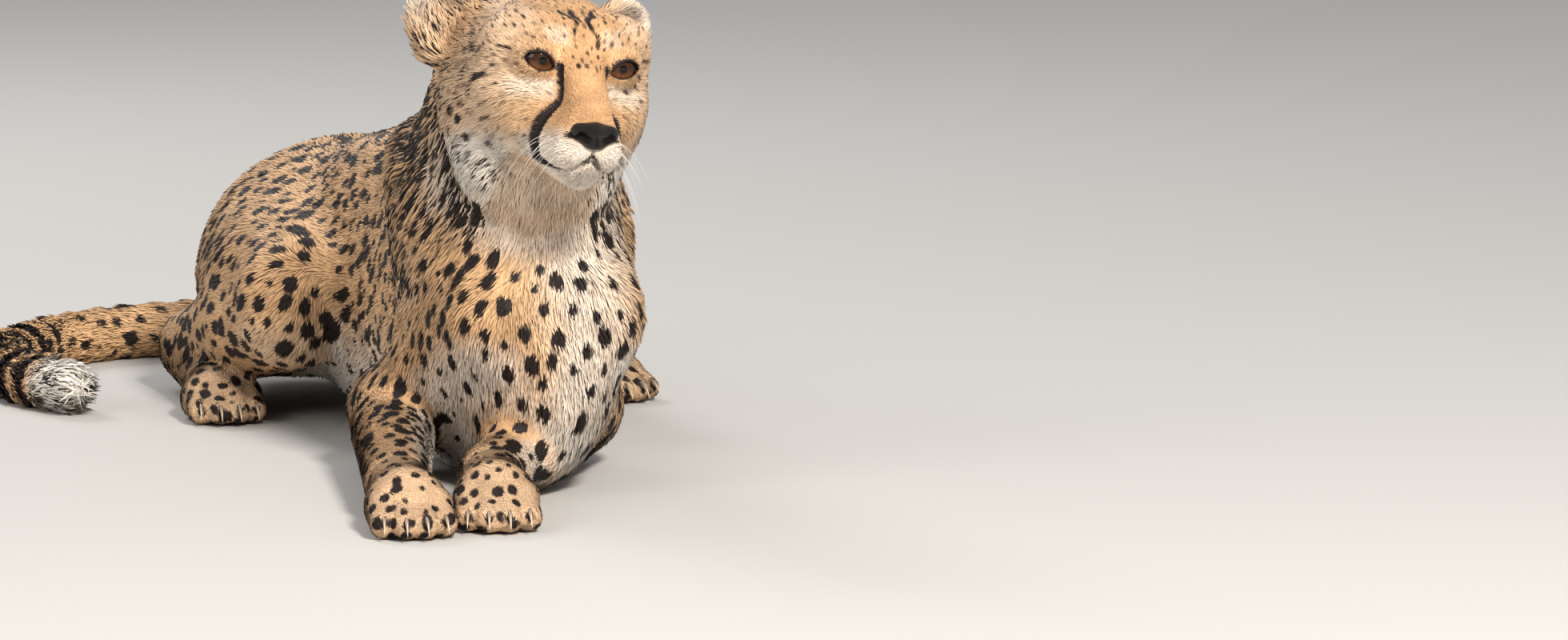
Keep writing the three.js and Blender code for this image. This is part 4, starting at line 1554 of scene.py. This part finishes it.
def tuft_mesh(name, kind, hair, floats, material):
    """Thin closed tufts of one kind, as one joined mesh."""
    n, lie, length = hair["normal"], hair["lie"], hair["length"]
    side = np.cross(n, lie)
    count, corners = len(length), len(kind["along"])
    points = np.empty((count, corners, 3))
    for c in range(corners):
        angle = np.clip(hair["lift"] * kind["rise"][c], -0.1, 1.2)
        run = length * kind["along"][c]
        out = n * (run * np.sin(angle))[:, None]
        points[:, c] = hair["root"] + lie * (run * np.cos(angle))[:, None] + out
        points[:, c] += side * (hair["width"] * kind["across"][c])[:, None]
    points[:, 0] -= n * (0.3 * MM)
    points += hair["drift"][:, None] * (np.array(kind["along"])[None, :, None].clip(0) ** 1.5)
    points[:, :, 2] = np.maximum(points[:, :, 2], LOWEST_HAIR)
    seen = (points + hair["stray"][:, None]).reshape(-1, 3)
    faces = (np.array(kind["faces"])[None] + (np.arange(count) * corners)[:, None, None]).reshape(-1, 3)
    spread = {key: np.repeat(values, corners) for key, values in floats.items()}
    spread["along"] = np.tile(np.clip(kind["along"], 0, 1), count)
    spread["mark"] = np.maximum.reduce([depth_in_spots(seen, SPOTS), spread["mark"], face_lines(seen)])
    turned = unit(n + side * hair["tint"][:, None] * TINT + lie * 0.12)
    item = mesh_object(name, points.reshape(-1, 3), faces, material, spread,
                       normals=np.repeat(turned, corners, axis=0))
    patch = hair["uv"][:, None] + np.array(kind["patch"]) * PATCH
    layer = item.data.uv_layers.new(name=UV_NAME)
    layer.uv.foreach_set("vector", patch.reshape(-1, 2)[faces.ravel()].astype(np.float32).ravel())
    own(item)


def grown_hair(site, kind):
    """Each tuft's root, direction and size, and how it leans, drawn at random round what grows there."""
    count = len(site.points)
    swirl = noise(site.points, 22 * MM, 0.3)
    loose = rng.normal(0, 0.10, (count, 3))
    lie = site.lie + (swirl * 0.28 + loose) * (0.4 + 0.6 * step(4, 12, site.coat / MM))[:, None]
    site.lie = unit(less_along(lie, site.normals))
    length, width, lift, _ = hair_growth(site)
    length = length * (rng.uniform(0.75, 1.2, count) * kind["size"])
    length = np.minimum(length, 0.6 + clear_of_face(site.points) * 0.9) * MM
    width = width * rng.uniform(0.8, 1.25, count) * kind["wide"] * MM
    lift = lift * rng.uniform(0.7, 1.25, count)
    pull = less_along(less_along(clumps(site, CLUMP) - site.points, site.normals), site.lie)
    tint = rng.uniform(-1, 1, count)
    stray = rng.normal(0, 0.03, (count, 3)) + site.lie * rng.normal(0, 0.12, (count, 1))
    return {
        "root": site.points, "normal": site.normals, "lie": site.lie, "tint": tint,
        "length": length, "width": width, "lift": lift,
        "drift": pull * (0.5 * step(6, 18, length / MM))[:, None],
        "stray": stray * length[:, None],          # how far off its own place a tuft takes its markings
    }


def hair_colours(site):
    """The ground colour, shade and markings at each tuft's root."""
    count = len(site.points)
    dark = rng.random(count) < dark_share(site)
    mark = np.where(dark, MARK_FULL, drawn_markings(site) + rng.normal(0, 0.3, count))
    shade = 0.5 + 0.26 * noise(site.points, 14 * MM, 0.7)[:, 0] + rng.normal(0, 0.11, count)
    shade += 0.2 * site.kinds["head"] * noise(site.points, 5 * MM, 0.1)[:, 1]
    return {"pale": pale_share(site), "rust": rust_share(site), "mark": mark, "shade": np.clip(shade, 0, 1)}


def coat(bare, faces, traits, uv, material):
    """Strews tufts over the skin: short ones everywhere, with long ones among them where the coat is long."""
    length, _, _, density = hair_growth(bare)
    long_share = step(8, 14, length) * LONG_SHARE
    for kind, share in ((SHORT_TUFT, 1 - long_share), (LONG_TUFT, long_share)):
        face, weights = strewn(bare.points, faces, (density * share)[faces].mean(axis=1))
        open_skin = clear_of_face(blend(bare.points, faces[face], weights)) > HAIR_FROM
        face, weights = face[open_skin], weights[open_skin]
        corners = faces[face]
        normals = unit(blend(bare.normals, corners, weights))
        site = Site(blend(bare.points, corners, weights), normals, blend(traits, corners, weights))
        hair = grown_hair(site, kind)
        hair["uv"] = (uv[face] * weights[:, :, None]).sum(axis=1)
        floats = hair_colours(site)
        order = np.argsort(site.y, kind="stable")
        count = len(order)
        pieces = math.ceil(count / (PIECE_TRIANGLES // len(kind["faces"])))
        for i in range(pieces):
            some = order[i * count // pieces:(i + 1) * count // pieces]
            cut_hair = {key: values[some] for key, values in hair.items()}
            cut_floats = {key: values[some] for key, values in floats.items()}
            tuft_mesh(f"coat_{kind['name']}_{i + 1}", kind, cut_hair, cut_floats, material)


# ---------------------------------------------------------------- camera, lights and floor
CAMERA_AROUND = math.radians(-16)       # from straight ahead of the animal towards its right
CAMERA_ABOVE = math.radians(7)
CAMERA_AWAY = 6.0
LENS = 192.9
SENSOR = 36.0
AIM_RIGHT = 0.1971                      # the middle of the frame, from the place between the forelegs
AIM_UP = 0.1103


def camera():
    back = np.array([math.sin(CAMERA_AROUND) * math.cos(CAMERA_ABOVE),
                     -math.cos(CAMERA_AROUND) * math.cos(CAMERA_ABOVE), math.sin(CAMERA_ABOVE)])
    right = np.array([math.cos(CAMERA_AROUND), math.sin(CAMERA_AROUND), 0])
    up = np.cross(back, right)
    aim = np.array([0, 0.03, 0]) + AIM_RIGHT * right + AIM_UP * up + SHIFT
    data = bpy.data.cameras.new("camera")
    data.lens = LENS
    data.sensor_width = SENSOR
    data.clip_end = 60
    item = linked("camera", data)
    item.matrix_world = Matrix(np.block([
        [right[:, None], up[:, None], back[:, None], (aim + back * CAMERA_AWAY)[:, None]],
        [np.array([[0, 0, 0, 1]])],
    ]))
    bpy.context.scene.camera = item


def lamp(name, place, size, watts, colour=(1, 1, 1)):
    data = bpy.data.lights.new(name, "AREA")
    data.shape = "DISK"
    data.size = size
    data.energy = watts
    data.color = colour
    item = linked(name, data)
    item.location = place
    aim = Vector((0, 0.1, 0.15)) - item.location
    item.rotation_euler = aim.to_track_quat("-Z", "Y").to_euler()


def studio():
    mesh = bpy.data.meshes.new("floor")
    mesh.from_pydata([(-30, -30, 0), (30, -30, 0), (30, 30, 0), (-30, 30, 0)], [], [(0, 1, 2, 3)])
    mesh.materials.append(plain_material("floor", "floor", linear(184, 181, 176), 0.9))
    floor = linked("floor", mesh)
    world = bpy.data.worlds.new("studio")
    world.use_nodes = True
    set_values(world.node_tree.nodes["Background"], {"Color": (0.9, 0.93, 1, 1), "Strength": 0.55})
    bpy.context.scene.world = world
    lamp("key", (0.4, -4.2, 3.1), 0.9, 365, (1, 0.96, 0.9))
    lamp("fill", (-3.0, -2.0, 1.8), 2.0, 36, (1, 0.97, 0.93))
    lamp("rim", (-0.8, 2.6, 2.2), 1.4, 40)
    bpy.context.scene.view_settings.view_transform = "Standard"


# ---------------------------------------------------------------- the whole animal
camera()
studio()
eyes(eye_material())
nose(leather_material())
claws(claw_material())
whiskers(plain_material("whisker", "coat", linear(240, 234, 224), 0.4))

skin_points, skin_faces = skin_shape()
_, skin_traits = coat_field(skin_points)
skin_site = Site(skin_points, normals_of(skin_field, skin_points), skin_traits)
on_face = skin_site.kinds["head"][skin_faces].mean(axis=1)
places, place_weights = strewn(skin_points, skin_faces, 0.02 + 0.1 * on_face)
SPOTS = lay_spots(survey(blend(skin_points, skin_faces[places], place_weights)))
markings = coat_colour()
skin_floats = {
    "pale": pale_share(skin_site), "rust": rust_share(skin_site),
    "mark": np.maximum(depth_in_spots(skin_points, SPOTS), drawn_markings(skin_site)),
    "shade": 0.4 + 0.25 * skin_site.rough[:, 1], "along": np.full(len(skin_points), 0.35),
}
skin = mesh_object("skin", skin_points, skin_faces, coat_material("skin", markings, 0.75, 0.6),
                   skin_floats, normals=skin_site.normals)
skin_uv = unwrap(skin)
own(skin, SKIN_NODES)
coat(skin_site, skin_faces, skin_traits, skin_uv, coat_material("coat", markings, 0.62))
